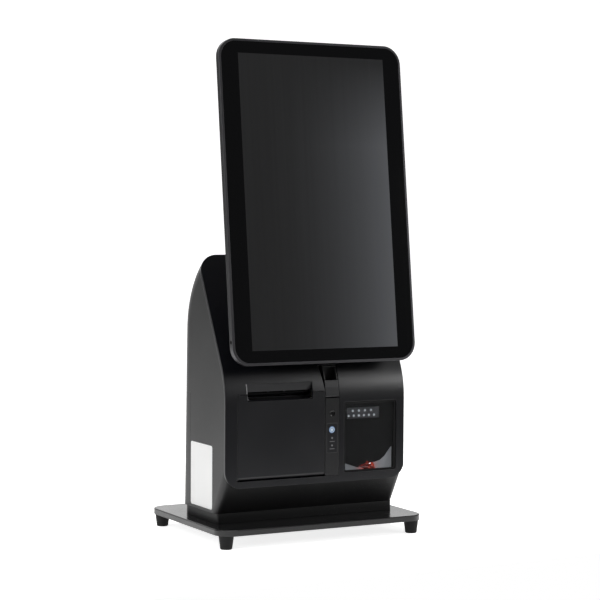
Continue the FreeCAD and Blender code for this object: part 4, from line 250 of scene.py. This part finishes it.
def skin(name, color, roughness, depth, grain=900.0, mottle=0.10, dust=0.0, edge=0.0, **sockets):
    """A material with the skin grain: depth is the bump's strength, and edge rounds hard edges
    by that radius. Any further name is one of the shader's own sockets."""
    made, tree, shader = new_material(name)
    group = tree.nodes.new("ShaderNodeGroup")
    group.node_tree = skin_grain
    fill(group, Vector=place_in(tree), Color=(*color, 1), Roughness=roughness, Grain=grain,
         Mottle=mottle, Dust=dust)
    bump = node_in(tree, "ShaderNodeBump", Strength=depth, Distance=0.0002,
                   Height=group.outputs["Height"])
    if edge:
        soft = node_in(tree, "ShaderNodeBevel", Radius=edge)
        soft.samples = 6
        fill(bump, Normal=soft.outputs[0])
    fill(shader, Base_Color=group.outputs["Color"], Roughness=group.outputs["Roughness"],
         Normal=bump.outputs[0], **sockets)
    return made


def dress(material, *names):
    """Give CAD nodes a material."""
    for name in names:
        node[name].data.materials.clear()
        node[name].data.materials.append(material)


powder = skin("black_powder_coat", (0.0050, 0.0050, 0.0054), 0.20, grain=1500, depth=0.10,
              mottle=0.12, dust=0.5, edge=0.0008, Specular_IOR_Level=0.42)
dress(powder, "base_plate")
foot_rubber = skin("foot_rubber", (0.0040, 0.0040, 0.0042), 0.60, grain=700, depth=0.25,
                   mottle=0.2, edge=0.0006, Specular_IOR_Level=0.22)
dress(foot_rubber, "feet")
zinc = skin("zinc_plated_steel", (0.60, 0.60, 0.62), 0.32, grain=400, depth=0.05, Metallic=1.0)
dress(zinc, "stand_screws")

# ---------------------------------------------------------------- plinth and housing
# Black ABS shells with a fine spark texture: a low plinth, the housing with its rounded
# back, and the service cover behind, screwed on. A bare white label sits low on one side.

spark_grain = {"grain": 1700, "depth": 0.35, "dust": 0.35, "edge": 0.0009}
spark = skin("spark_textured_black", (0.0030, 0.0030, 0.0033), 0.44, **spark_grain)
dress(spark, "housing", "rear_cover")
# The plinth takes a darker, duller copy of the housing's black: painted shade low under the housing.
plinth_shaded_black = skin("plinth_shaded_black", (0.0022, 0.0022, 0.0026), 0.46, Specular_IOR_Level=0.30,
                    **spark_grain)
dress(plinth_shaded_black, "plinth")
dress(zinc, "rear_cover_screws")


def film(name, left, right, low, high, corner, thick, wall, across, inner=0.0):
    """A thin sheet on a wall: a rounded rectangle grown from its middle, or a ring of an inner width.

    Points are middle + share * edge(angle). The edge is the rectangle less its corner radius,
    taken on the side that the angle faces, plus the corner's circle. The sheet runs from left to
    right along the axis across, 0 or 1, and up Z; it stands its thickness off the wall, a place
    on the other axis, and its rim turns back to it.
    """
    steep = 10  # how quickly the edge passes from one side's corner to the other's
    angle = np.linspace(0, 2 * math.pi, 96, endpoint=False)
    half_a, half_z = (right - left) / 2 - corner, (high - low) / 2 - corner
    edge_a = np.clip(np.cos(angle) * steep, -1, 1) * half_a + corner * np.cos(angle)
    edge_z = np.clip(np.sin(angle) * steep, -1, 1) * half_z + corner * np.sin(angle)
    if inner:
        share_a = np.array([1 - inner / (half_a + corner)] * 2 + [1.0, 1.0])[:, None]
        share_z = np.array([1 - inner / (half_z + corner)] * 2 + [1.0, 1.0])[:, None]
        off = np.array([0.0, 1.0, 1.0, 0.0])[:, None] * thick
    else:
        share_a = share_z = np.array([0, 0.25, 0.5, 0.75, 0.97, 1.0, 1.0, 0.0])[:, None]
        off = np.array([1.0, 1.0, 1.0, 1.0, 1.0, 0.7, 0.0, 0.0])[:, None] * thick
    grid = np.empty((len(off), len(angle), 3))
    grid[..., 1 - across] = wall - off
    grid[..., across] = (left + right) / 2 + share_a * edge_a
    grid[..., 2] = (low + high) / 2 + share_z * edge_z
    return surface(name, grid, round_v=True, round_u=bool(inner))


label = film("side_label", left=-0.0435, right=0.015, low=0.038, high=0.113, corner=0.003,
             thick=0.00015, wall=-0.1202, across=1)
white_film = skin("white_film", (0.97, 0.97, 0.96), 0.45, grain=500, depth=0.04, mottle=0.02)
label.data.materials.append(white_film)
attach(label, "base")

# ---------------------------------------------------------------- front cover
# The formed front: slanted upper panel, rounded brow and bezel in one semi-gloss black
# moulding, with the scoop above the ticket slot as its own insert.

bezel = skin("semi_gloss_black", (0.0026, 0.0027, 0.0046), 0.32, grain=1300, depth=0.10,
             dust=0.25, edge=0.0009, Coat_Weight=0.15, Coat_Roughness=0.35)
dress(bezel, "front_cover", "exit_guide")

# ---------------------------------------------------------------- printer door
# A drop-down door of the same black on a steel pin, lined inside, with the fixed cutter blade
# and the rubber platen roller on its steel shaft in two bushes. Scoop and slot end at the left
# in a thin pale bead: a painted highlight for light on a rounded edge.

door_skin = skin("door_black", (0.0036, 0.0037, 0.0056), 0.40, grain=1300, depth=0.12,
                 mottle=0.12, dust=0.2, edge=0.0007)
dress(door_skin, "printer_door")
inner_black = skin("inner_black", (0.0060, 0.0060, 0.0062), 0.60, depth=0.3, mottle=0.12)
dress(inner_black, "door_liner", "platen_bushes")
platen_rubber = skin("platen_rubber", (0.045, 0.045, 0.050), 0.70, grain=1200, depth=0.3, mottle=0.2)
dress(platen_rubber, "platen_roller")
dress(zinc, "cover_pins")


def brushed(name, color, roughness, along):
    """Brushed metal: noise stretched along one axis drives tone, roughness and a shallow bump."""
    scale = 60.0
    stretch = 22.0
    darkest, lightest = 0.80, 1.15
    rough_swing, rough_drop = 0.25, 0.12
    made, tree, shader = new_material(name)
    squeeze = [scale * stretch] * 3
    squeeze["XYZ".index(along)] = scale
    mapping = node_in(tree, "ShaderNodeMapping", Vector=place_in(tree), Scale=squeeze)
    lines = node_in(tree, "ShaderNodeTexNoise", Vector=mapping.outputs[0], Scale=1.0, Detail=4.0,
                    Roughness=0.7).outputs[0]
    tone = mix_in(tree, lines, (*[part * darkest for part in color], 1),
                  (*[min(1, part * lightest) for part in color], 1))
    rough = math_in(tree, "MULTIPLY_ADD", lines, rough_swing, roughness - rough_drop)
    bump = node_in(tree, "ShaderNodeBump", Strength=0.12, Distance=0.0001, Height=lines)
    fill(shader, Base_Color=tone, Roughness=rough, Normal=bump.outputs[0], Metallic=1.0)
    return made


dress(brushed("ground_steel", (0.66, 0.66, 0.68), 0.24, "X"), "platen_shaft")
# The cutter blades are near black and almost without shine: painted shade for the dark slot they sit
# behind.
blade_shade_black = skin("blade_painted_shade", (0.0060, 0.0060, 0.0068), 0.60, depth=0.10,
                   Specular_IOR_Level=0.10)
dress(blade_shade_black, "fixed_blade")


def tube(name, path, radius):
    """A round tube along a path of points, closed at its ends.

    Each ring is the path's point + radius * (cos(angle) * side + sin(angle) * over), where side
    and over stand square to the path's direction, and the ends close on its own end points.
    """
    around = 14
    ahead = np.gradient(path, axis=0)
    ahead /= np.linalg.norm(ahead, axis=1)[:, None]
    side = np.cross(ahead, (0, 1, 0))
    side /= np.linalg.norm(side, axis=1)[:, None]
    over = np.cross(side, ahead)
    angle = np.linspace(0, 2 * math.pi, around, endpoint=False)[None, :, None]
    rings = path[:, None] + radius * (np.cos(angle) * side[:, None] + np.sin(angle) * over[:, None])
    ends = path[[0, -1], None].repeat(around, 1)
    return surface(name, np.concatenate([ends[:1], rings, ends[1:]]), round_v=True)


bezel_y = -0.0778  # the flat front of bezel, strip and door
brow_low = 0.16415  # above it the front curves back
brow_radius = 0.092


def brow_face(height):
    """The front's Y at a height: flat below the brow, then a circle of the brow's radius."""
    rise = np.maximum(height - brow_low, 0)
    return bezel_y + brow_radius - np.sqrt(brow_radius ** 2 - rise ** 2)


edge_x = -0.0920  # of both edges, at the left ends of scoop and slot
edge_radius = 0.0006
bend_below = 0.1753  # the slot's edge runs off to the right below this height
bend_tall = 0.007
bend_wide = 0.0012
# A pale glossy bead at the left end of scoop and slot: a painted highlight for light on a rounded edge.
edge_highlight = skin("painted_edge_highlight", (0.26, 0.26, 0.27), 0.25, grain=1300, depth=0.05, Coat_Weight=0.5)
for bead_name, low, high, sunk, body, finish in (
        ("scoop_edge", 0.1753, 0.1866, 0.0004, "base", "cover_black"),
        ("slot_edge", 0.1682, 0.1741, 0.0006, "door", "door_black")):
    height = np.linspace(low, high, 16)
    bend = np.clip((bend_below - height) / bend_tall, 0, 1) ** 2 * bend_wide
    bead_path = np.stack([edge_x + bend, brow_face(height) + sunk, height], axis=1)
    bead = tube(bead_name, bead_path, edge_radius)
    bead.data.materials.append(edge_highlight)
    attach(bead, body)

# ---------------------------------------------------------------- printer mechanism
# Galvanised side plates carry the thermal head with its black heat sink, the nylon feed gears,
# the brass pinions and the two small motors, behind a moulded bucket for the paper roll.

galvanised = skin("galvanised_sheet", (0.55, 0.56, 0.56), 0.38, grain=160, depth=0.05,
                  mottle=0.35, Metallic=1.0)
dress(galvanised, "printer_frame")
dress(inner_black, "roll_bucket")
spring_steel = skin("spring_steel", (0.50, 0.50, 0.52), 0.28, grain=500, depth=0.05, Metallic=1.0)
dress(spring_steel, "head_springs")
dress(brushed("anodised_heat_sink", (0.022, 0.022, 0.025), 0.50, "X"), "thermal_head")
dress(blade_shade_black, "cutter_blade")
nylon = skin("natural_nylon", (0.74, 0.72, 0.64), 0.42, grain=700, depth=0.06, mottle=0.05,
             Subsurface_Weight=0.1, Subsurface_Radius=(0.002, 0.002, 0.0015))
dress(nylon, "platen_gear", "idler_gear")
dress(brushed("turned_brass", (0.78, 0.58, 0.26), 0.26, "Y"), "motor_pinion", "cutter_pinion")
dress(brushed("drawn_motor_can", (0.50, 0.50, 0.52), 0.30, "X"), "feed_motor", "cutter_motor")

# ---------------------------------------------------------------- control strip
# A narrow satin strip beside the door with the cover lever at its top, a plain dished feed
# button, a lit power button, and a film overlay with two light pipes. Its board is behind it.

strip_skin = skin("strip_black", (0.012, 0.012, 0.013), 0.38, grain=1300, depth=0.12, dust=0.2,
                  edge=0.0006)
dress(strip_skin, "control_strip")
dress(door_skin, "open_lever")
overlay_film = skin("overlay_film", (0.014, 0.014, 0.016), 0.30, grain=1500, depth=0.06, mottle=0.05)
dress(overlay_film, "indicator_overlay")
light_pipe = skin("clear_light_pipe", (0.30, 0.30, 0.31), 0.22, grain=300, depth=0.02, mottle=0.05)
dress(light_pipe, "light_pipes")
button_black = skin("button_black", (0.0060, 0.0060, 0.0066), 0.32, grain=1100, depth=0.08,
                    edge=0.0004)
dress(button_black, "feed_button")

strip_x = 0.02045  # the strip's middle line
power_z = 0.1287
feed_z = 0.1480


def dish(name, middle, radius, rim, deep, outward):
    """A round cap with a hollow face, grown from its middle to its edge and closed at its seat.

    Up to the lip the face stands rim - deep * (1 - (share / lip) ** 4) over the seat, and past
    it a round shoulder falls to the seat. Outward is the axis, 0 or 1, whose negative side the
    cap faces.
    """
    lip = 0.9
    shares = [0, 0.2, 0.35, 0.5, 0.6, 0.7, 0.77, 0.84, lip, 0.94, 0.97, 0.99, 1.0, 0.0]
    share = np.array(shares)[:, None]
    hollow = rim - deep * (1 - (share / lip) ** 4)
    shoulder = rim * np.sqrt(np.clip(1 - ((share - lip) / (1 - lip)) ** 2, 0, 1))
    stand = np.where(share <= lip, hollow, shoulder)
    stand[-1] = 0
    angle = np.linspace(0, 2 * math.pi, 40, endpoint=False)
    grid = np.empty((len(share), len(angle), 3))
    grid[..., outward] = middle[outward] - stand
    grid[..., 1 - outward] = middle[1 - outward] + share * radius * np.cos(angle)
    grid[..., 2] = middle[2] + share * radius * np.sin(angle)
    return surface(name, grid, round_v=True)


feed_seat = (strip_x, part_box("feed_button")[0].y, feed_z)  # on the plain button's face
feed_dish = dish("feed_dish", feed_seat, radius=0.0036, rim=0.00057, deep=0.00054, outward=1)
dish_black = skin("dish_black", (0.0030, 0.0030, 0.0034), 0.24, grain=1100, depth=0.05)
feed_dish.data.materials.append(dish_black)
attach(feed_dish, "feed_key")


def away(tree, spot, radius):
    """How far a point lies from a spot, seen from the front, as a share of a radius."""
    offset = node_in(tree, "ShaderNodeVectorMath", "SUBTRACT", i0=place_in(tree), i1=spot)
    flat = node_in(tree, "ShaderNodeVectorMath", "MULTIPLY", i0=offset.outputs[0], i1=(1, 0, 1))
    length = node_in(tree, "ShaderNodeVectorMath", "LENGTH", i0=flat.outputs[0])
    return math_in(tree, "MULTIPLY", length.outputs["Value"], 1 / radius)


def lit_cap():
    """The power button's translucent cap: light falls off from the middle, bluer at its rim."""
    cap_radius = 0.0042
    made, tree, shader = new_material("lit_power_cap")
    ramp = node_in(tree, "ShaderNodeValToRGB", i0=away(tree, (strip_x, 0, power_z), cap_radius))
    ramp.color_ramp.elements[0].color = (0.58, 0.66, 0.74, 1)
    ramp.color_ramp.elements[1].color = (0.06, 0.12, 0.26, 1)
    ramp.color_ramp.elements.new(0.70).color = (0.30, 0.40, 0.54, 1)
    glow = ramp.outputs[0]
    fill(shader, Base_Color=glow, Roughness=0.3, Emission_Color=glow, Emission_Strength=0.45)
    return made


dress(lit_cap(), "power_button")

ink_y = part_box("power_button")[0].y + 0.00005  # the line's middle, just under the cap's face
ink_radius = 0.00022
ring_radius = 0.0019
stem_low, stem_high = 0.0003, 0.0022  # over the button's middle
ring_ink = skin("ring_ink", (0.006, 0.012, 0.030), 0.6, depth=0.02, mottle=0.05)
angle = np.linspace(math.radians(125), math.radians(415), 40)
ring = np.stack([strip_x + ring_radius * np.cos(angle), np.full(len(angle), ink_y),
                 power_z + ring_radius * np.sin(angle)], axis=1)
stem = np.linspace((strip_x, ink_y, power_z + stem_low), (strip_x, ink_y, power_z + stem_high), 8)
for piece in (tube("power_ring", ring, ink_radius), tube("power_stem", stem, ink_radius)):
    piece.data.materials.append(ring_ink)
    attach(piece, "power_key")


def mark(name, across, height, width, tall, y):
    """A flat printed bar with round ends, grown from its middle to its edge.

    The edge is half a circle of the bar's height at each end, and the bar stands 0.05 mm off
    the wall at y, with its rim turned back to it.
    """
    proud = 0.00005
    angle = np.linspace(0, 2 * math.pi, 32, endpoint=False)
    reach = width / 2 - tall / 2
    edge_x = np.sign(np.cos(angle)) * reach + tall / 2 * np.cos(angle)
    edge_z = tall / 2 * np.sin(angle)
    share = np.array([0, 0.9, 1.0, 1.0, 0.0])[:, None]
    off = np.array([1.0, 1.0, 0.6, 0.0, 0.0])[:, None] * proud
    grid = np.empty((len(share), len(angle), 3))
    grid[..., 0] = across + share * edge_x
    grid[..., 1] = y - off
    grid[..., 2] = height + share * edge_z
    return surface(name, grid, round_v=True)


bar_heights = (0.1147, 0.1060)
print_grey = skin("print_grey", (0.22, 0.22, 0.23), 0.5, depth=0.03, mottle=0.05)
for number, height in enumerate(bar_heights):
    bar = mark(f"indicator_bar_{number}", strip_x, height, width=0.0066, tall=0.0007, y=bezel_y)
    bar.data.materials.append(print_grey)
    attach(bar, "base")
outline = film("overlay_outline", left=0.01315, right=0.02775, low=0.1012, high=0.1365,
               corner=0.0008, thick=0.00006, wall=bezel_y, across=0, inner=0.0004)
outline_grey = skin("outline_grey", (0.05, 0.05, 0.052), 0.4, depth=0.03, mottle=0.05)
outline.data.materials.append(outline_grey)
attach(outline, "base")

board_mask = skin("board_mask", (0.02, 0.10, 0.05), 0.35, grain=600, depth=0.1)
dress(board_mask, "button_board")

# ---------------------------------------------------------------- code scanner
# A dark well behind a flat pane: a black hood with two rows of white lights on a board, a
# pale reflector tray, the scan engine, and a red aiming lens with a faceted guide before it.

well_black = skin("well_black", (0.0026, 0.0026, 0.0030), 0.50, depth=0.2, Specular_IOR_Level=0.15)
dress(well_black, "scanner_well", "scan_engine")
frame_black = skin("frame_black", (0.0022, 0.0022, 0.0025), 0.62, depth=0.2, Specular_IOR_Level=0.22)
dress(frame_black, "window_frame")
hood_black = skin("hood_black", (0.0034, 0.0034, 0.0036), 0.45, grain=1100, depth=0.2, mottle=0.15,
                  Specular_IOR_Level=0.2)
dress(hood_black, "scanner_hood")
board_white = skin("light_board_white", (0.16, 0.16, 0.165), 0.5, grain=600, depth=0.1, mottle=0.3)
dress(board_white, "led_board")


def tray_painted_glow():
    """The pale reflector, with painted light: a faint grey glow for the white lights it gives back,
    and a red glow round the lens for the aimer's spill.
    """
    lens_spot = (0.0753, -0.0715, 0.0818)
    painted_red_reach = 0.017
    painted_red_falloff = 1.4
    made = skin("reflector_grey", (0.66, 0.67, 0.68), 0.45, grain=600, depth=0.1, mottle=0.12)
    tree = made.node_tree
    near = math_in(tree, "SUBTRACT", 1.0, away(tree, lens_spot, painted_red_reach))
    near = math_in(tree, "POWER", math_in(tree, "MAXIMUM", near, 0.0), painted_red_falloff)
    # Painted light: a faint grey glow for the white lights, rising to red round the lens for the aimer's
    # spill.
    glow = mix_in(tree, near, (0.085, 0.088, 0.092, 1), (0.50, 0.03, 0.015, 1))
    fill(tree.nodes["Principled BSDF"], Emission_Color=glow, Emission_Strength=1.0)
    return made


def red_lens():
    """The red aiming lens: a glossy coat over the aimer's red glow, orange at the right and broken into
    facets; its darkening towards the left is painted shade, where the snout covers it."""
    shade_left_x, shade_per_metre = 0.0690, 55.0
    facet_scale, facet_swing, facet_middle = 300.0, -1.1, 0.45
    made = skin("red_lens", (0.22, 0.008, 0.005), 0.12, grain=300, depth=0.02, Coat_Weight=1.0,
                Coat_Roughness=0.03)
    tree = made.node_tree
    place = place_in(tree)
    across = node_in(tree, "ShaderNodeSeparateXYZ", Vector=place).outputs["X"]
    # Painted shade: the glow darkens towards the left, where the snout covers the lens.
    side = math_in(tree, "MULTIPLY_ADD", across, shade_per_metre, -shade_per_metre * shade_left_x)
    facet = node_in(tree, "ShaderNodeTexVoronoi", Vector=place, Scale=facet_scale)
    patch = math_in(tree, "MULTIPLY_ADD", facet.outputs["Distance"], facet_swing, facet_middle)
    broken = math_in(tree, "ADD", patch, side)
    ramp = node_in(tree, "ShaderNodeValToRGB", i0=broken)
    ramp.color_ramp.elements[0].color = (0.035, 0.001, 0.001, 1)
    ramp.color_ramp.elements[1].color = (1.0, 0.11, 0.04, 1)
    fill(tree.nodes["Principled BSDF"], Emission_Color=ramp.outputs[0], Emission_Strength=0.55)
    return made


def light_guide(name, outline, middle, back, front):
    """A faceted red guide: flat facets from a raised middle over a crown to an irregular outline.

    The crown's points lie by turns at 0.68 and 0.45 of the way from the middle to the outline.
    """
    chamfer = 0.0003
    rim = np.array(outline)
    middle = np.array(middle)
    crown = middle + (rim - middle) * np.where(np.arange(len(rim)) % 2, 0.45, 0.68)[:, None]
    centre = middle[None].repeat(len(rim), 0)
    points = np.stack([centre, crown, rim, rim, centre])
    grid = np.empty((*points.shape[:2], 3))
    grid[..., 0] = points[..., 0]
    grid[..., 1] = np.array([front, front + chamfer, back - chamfer, back, back])[:, None]
    grid[..., 2] = points[..., 1]
    return surface(name, grid, round_v=True, smooth=False)


dress(tray_painted_glow(), "reflector_tray")
aimer = red_lens()
dress(aimer, "aimer_lens")
guide_outline = (
    (0.0590, 0.0824), (0.0646, 0.0846), (0.0690, 0.0856), (0.0712, 0.0884),
    (0.0738, 0.0862), (0.0776, 0.0846), (0.0786, 0.0822), (0.0826, 0.0800),
    (0.0818, 0.0774), (0.0742, 0.0770), (0.0688, 0.0778), (0.0634, 0.0806),
)
guide = light_guide("aimer_guide", guide_outline, middle=(0.0728, 0.0812), back=-0.0723,
                    front=-0.0734)
# The guide wears the lens's material, painted shade at its left included.
guide.data.materials.append(aimer)
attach(guide, "base")


def pane_glass():
    """Float glass with a faint grey tint and slightly uneven polish."""
    roughest = 0.05
    made, tree, shader = new_material("scanner_pane")
    smear = node_in(tree, "ShaderNodeTexNoise", Vector=place_in(tree), Scale=14.0, Detail=3.0)
    fill(shader, Base_Color=(0.80, 0.82, 0.84, 1), IOR=1.45, Transmission_Weight=1.0,
         Roughness=math_in(tree, "MULTIPLY", smear.outputs[0], roughest), Specular_IOR_Level=0.2)
    return made


dress(pane_glass(), "scanner_window")


def dome(name, across, y, height, radius):
    """A clear lens over a light: a flattened half sphere towards -Y, pole to rim, and a flat back."""
    flatter = 0.7
    polar = np.linspace(0, math.pi / 2, 9)
    reach = radius * np.append(np.sin(polar), 0)[:, None]
    angle = np.linspace(0, 2 * math.pi, 20, endpoint=False)[None, :]
    grid = np.empty((len(reach), angle.size, 3))
    grid[..., 0] = across + reach * np.cos(angle)
    grid[..., 1] = y - radius * flatter * np.append(np.cos(polar), 0)[:, None]
    grid[..., 2] = height + reach * np.sin(angle)
    return surface(name, grid, round_v=True)


light_white = skin("scanner_light", (0.75, 0.76, 0.78), 0.25, grain=300, depth=0.02, mottle=0.05,
                   Emission_Color=(0.9, 0.93, 1.0, 1), Emission_Strength=0.25)
light_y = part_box("led_board")[0].y
light_radius = 0.0015
light_rows = ((0.0463, 0.0070, 6, 0.1432), (0.0520, 0.0084, 4, 0.1490))  # first x, pitch, count, z
for row, (first_x, pitch_x, count, height) in enumerate(light_rows):
    for number in range(count):
        across = first_x + pitch_x * number
        light = dome(f"scanner_light_{row}_{number}", across, light_y, height, light_radius)
        light.data.materials.append(light_white)
        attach(light, "base")

# ---------------------------------------------------------------- chassis and rear sockets
# A galvanised chassis carries the main board and the socket plate, with a black power inlet
# and rocker switch, and tin-plated network and data shells.

dress(galvanised, "chassis", "socket_plate")
dress(board_mask, "main_board")
socket_black = skin("socket_black", (0.0080, 0.0080, 0.0080), 0.5, depth=0.15, edge=0.0003)
dress(socket_black, "power_inlet")
dress(button_black, "power_rocker")
dress(brushed("tin_plate", (0.68, 0.69, 0.70), 0.28, "X"), "data_sockets")

# ---------------------------------------------------------------- tilt hinge
# Bracket and arm of black painted steel on a black oxide through pin, with friction washers
# between the lugs and zinc-plated screws in the bracket.

hinge_paint = skin("hinge_paint", (0.0070, 0.0070, 0.0074), 0.40, grain=1300, depth=0.18, edge=0.0007)
dress(hinge_paint, "hinge_bracket", "hinge_arm")
black_oxide = skin("black_oxide", (0.05, 0.05, 0.055), 0.32, grain=700, depth=0.06, Metallic=0.8)
dress(black_oxide, "hinge_pin")
dress(brushed("washer_steel", (0.60, 0.60, 0.60), 0.30, "Y"), "friction_washers")
dress(zinc, "hinge_screws")

# ---------------------------------------------------------------- display
# An anodised metal rim round a cover glass with a black printed border, the display
# panel behind it, and a tapered black back cover. A small dark plug sits in the left rim.

rim_metal = skin("anodised_rim", (0.056, 0.055, 0.059), 0.42, depth=0.06, mottle=0.08,
                 edge=0.0008, Metallic=0.85)
dress(rim_metal, "display_frame")
plug_seat = (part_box("display_frame")[0].x, -0.0943, 0.2372)  # low on the rim's left side
rim_plug = dish("rim_plug", plug_seat, radius=0.0020, rim=0.00012, deep=0.0001, outward=0)
plug_black = skin("plug_black", (0.0015, 0.0015, 0.0017), 0.65, depth=0.1, Specular_IOR_Level=0.0)
rim_plug.data.materials.append(plug_black)
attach(rim_plug, "display")
gasket_black = skin("gasket_black", (0.0050, 0.0050, 0.0050), 0.7, grain=700, depth=0.2)
dress(gasket_black, "glass_gasket")
panel_black = skin("panel_black", (0.010, 0.010, 0.011), 0.5, grain=700, depth=0.1)
dress(panel_black, "lcd_panel")
back_black = skin("back_cover_black", (0.0045, 0.0045, 0.0050), 0.46, **spark_grain)
dress(back_black, "back_cover")
dress(black_oxide, "display_screws")

lean = math.radians(6.76)
pivot = (0, -0.04105, 0.300)
screen_wide = 0.1936
screen_half_tall = 0.1721
screen_middle = 0.0926  # its height over the pivot
grey_before = -0.0480  # so that the glass's rim and back stay black


def display_face():
    """Glossy glass over the dark panel: a rectangle mask in the display's own plane mixes the
    black border with the panel's grey.

    The panel's grey is lifted by a painted reflection: its share is run ** 2.7 * fade plus faint
    upright streaks, where run goes from 0 to 1 across the screen and fade falls over its upper part.
    """
    full_below = 0.067  # over the lit area's middle, where the fade begins
    fade_tall = 0.105
    faintest = 0.05
    streak_share = 0.06
    made, tree, shader = new_material("display_glass")
    local = node_in(tree, "ShaderNodeMapping", Vector=place_in(tree), Location=pivot,
                    Rotation=(-lean, 0, 0))
    local.vector_type = "TEXTURE"
    parts = node_in(tree, "ShaderNodeSeparateXYZ", Vector=local.outputs[0]).outputs
    rise = math_in(tree, "SUBTRACT", parts["Z"], screen_middle)
    within_x = math_in(tree, "LESS_THAN", math_in(tree, "ABSOLUTE", parts["X"]), screen_wide / 2)
    within_z = math_in(tree, "LESS_THAN", math_in(tree, "ABSOLUTE", rise), screen_half_tall)
    front = math_in(tree, "LESS_THAN", parts["Y"], grey_before)
    mask = math_in(tree, "MULTIPLY", math_in(tree, "MULTIPLY", within_x, within_z), front)
    run = math_in(tree, "MULTIPLY_ADD", parts["X"], 1 / screen_wide, 0.5)
    run = math_in(tree, "POWER", math_in(tree, "MAXIMUM", run, 0.0), 2.7)
    fade = math_in(tree, "MULTIPLY_ADD", rise, -1 / fade_tall, (full_below + fade_tall) / fade_tall)
    fade = math_in(tree, "MAXIMUM", math_in(tree, "MINIMUM", fade, 1.0), faintest)
    upright = node_in(tree, "ShaderNodeMapping", Vector=local.outputs[0], Scale=(1.0, 1.0, 0.02))
    streak = node_in(tree, "ShaderNodeTexNoise", Vector=upright.outputs[0], Scale=160.0, Detail=2.0)
    share = math_in(tree, "MULTIPLY", run, fade)
    share = math_in(tree, "MULTIPLY_ADD", streak.outputs[0], streak_share, share)
    # Painted reflection: the panel's grey brightens by the share above, most at the lower right.
    panel = mix_in(tree, share, (0.0225, 0.0225, 0.0230, 1), (0.122, 0.126, 0.135, 1))
    tone = mix_in(tree, mask, (0.0022, 0.0023, 0.0028, 1), panel)
    fill(shader, Base_Color=tone, Roughness=0.045, Specular_IOR_Level=0.28)
    return made


dress(display_face(), "cover_glass")
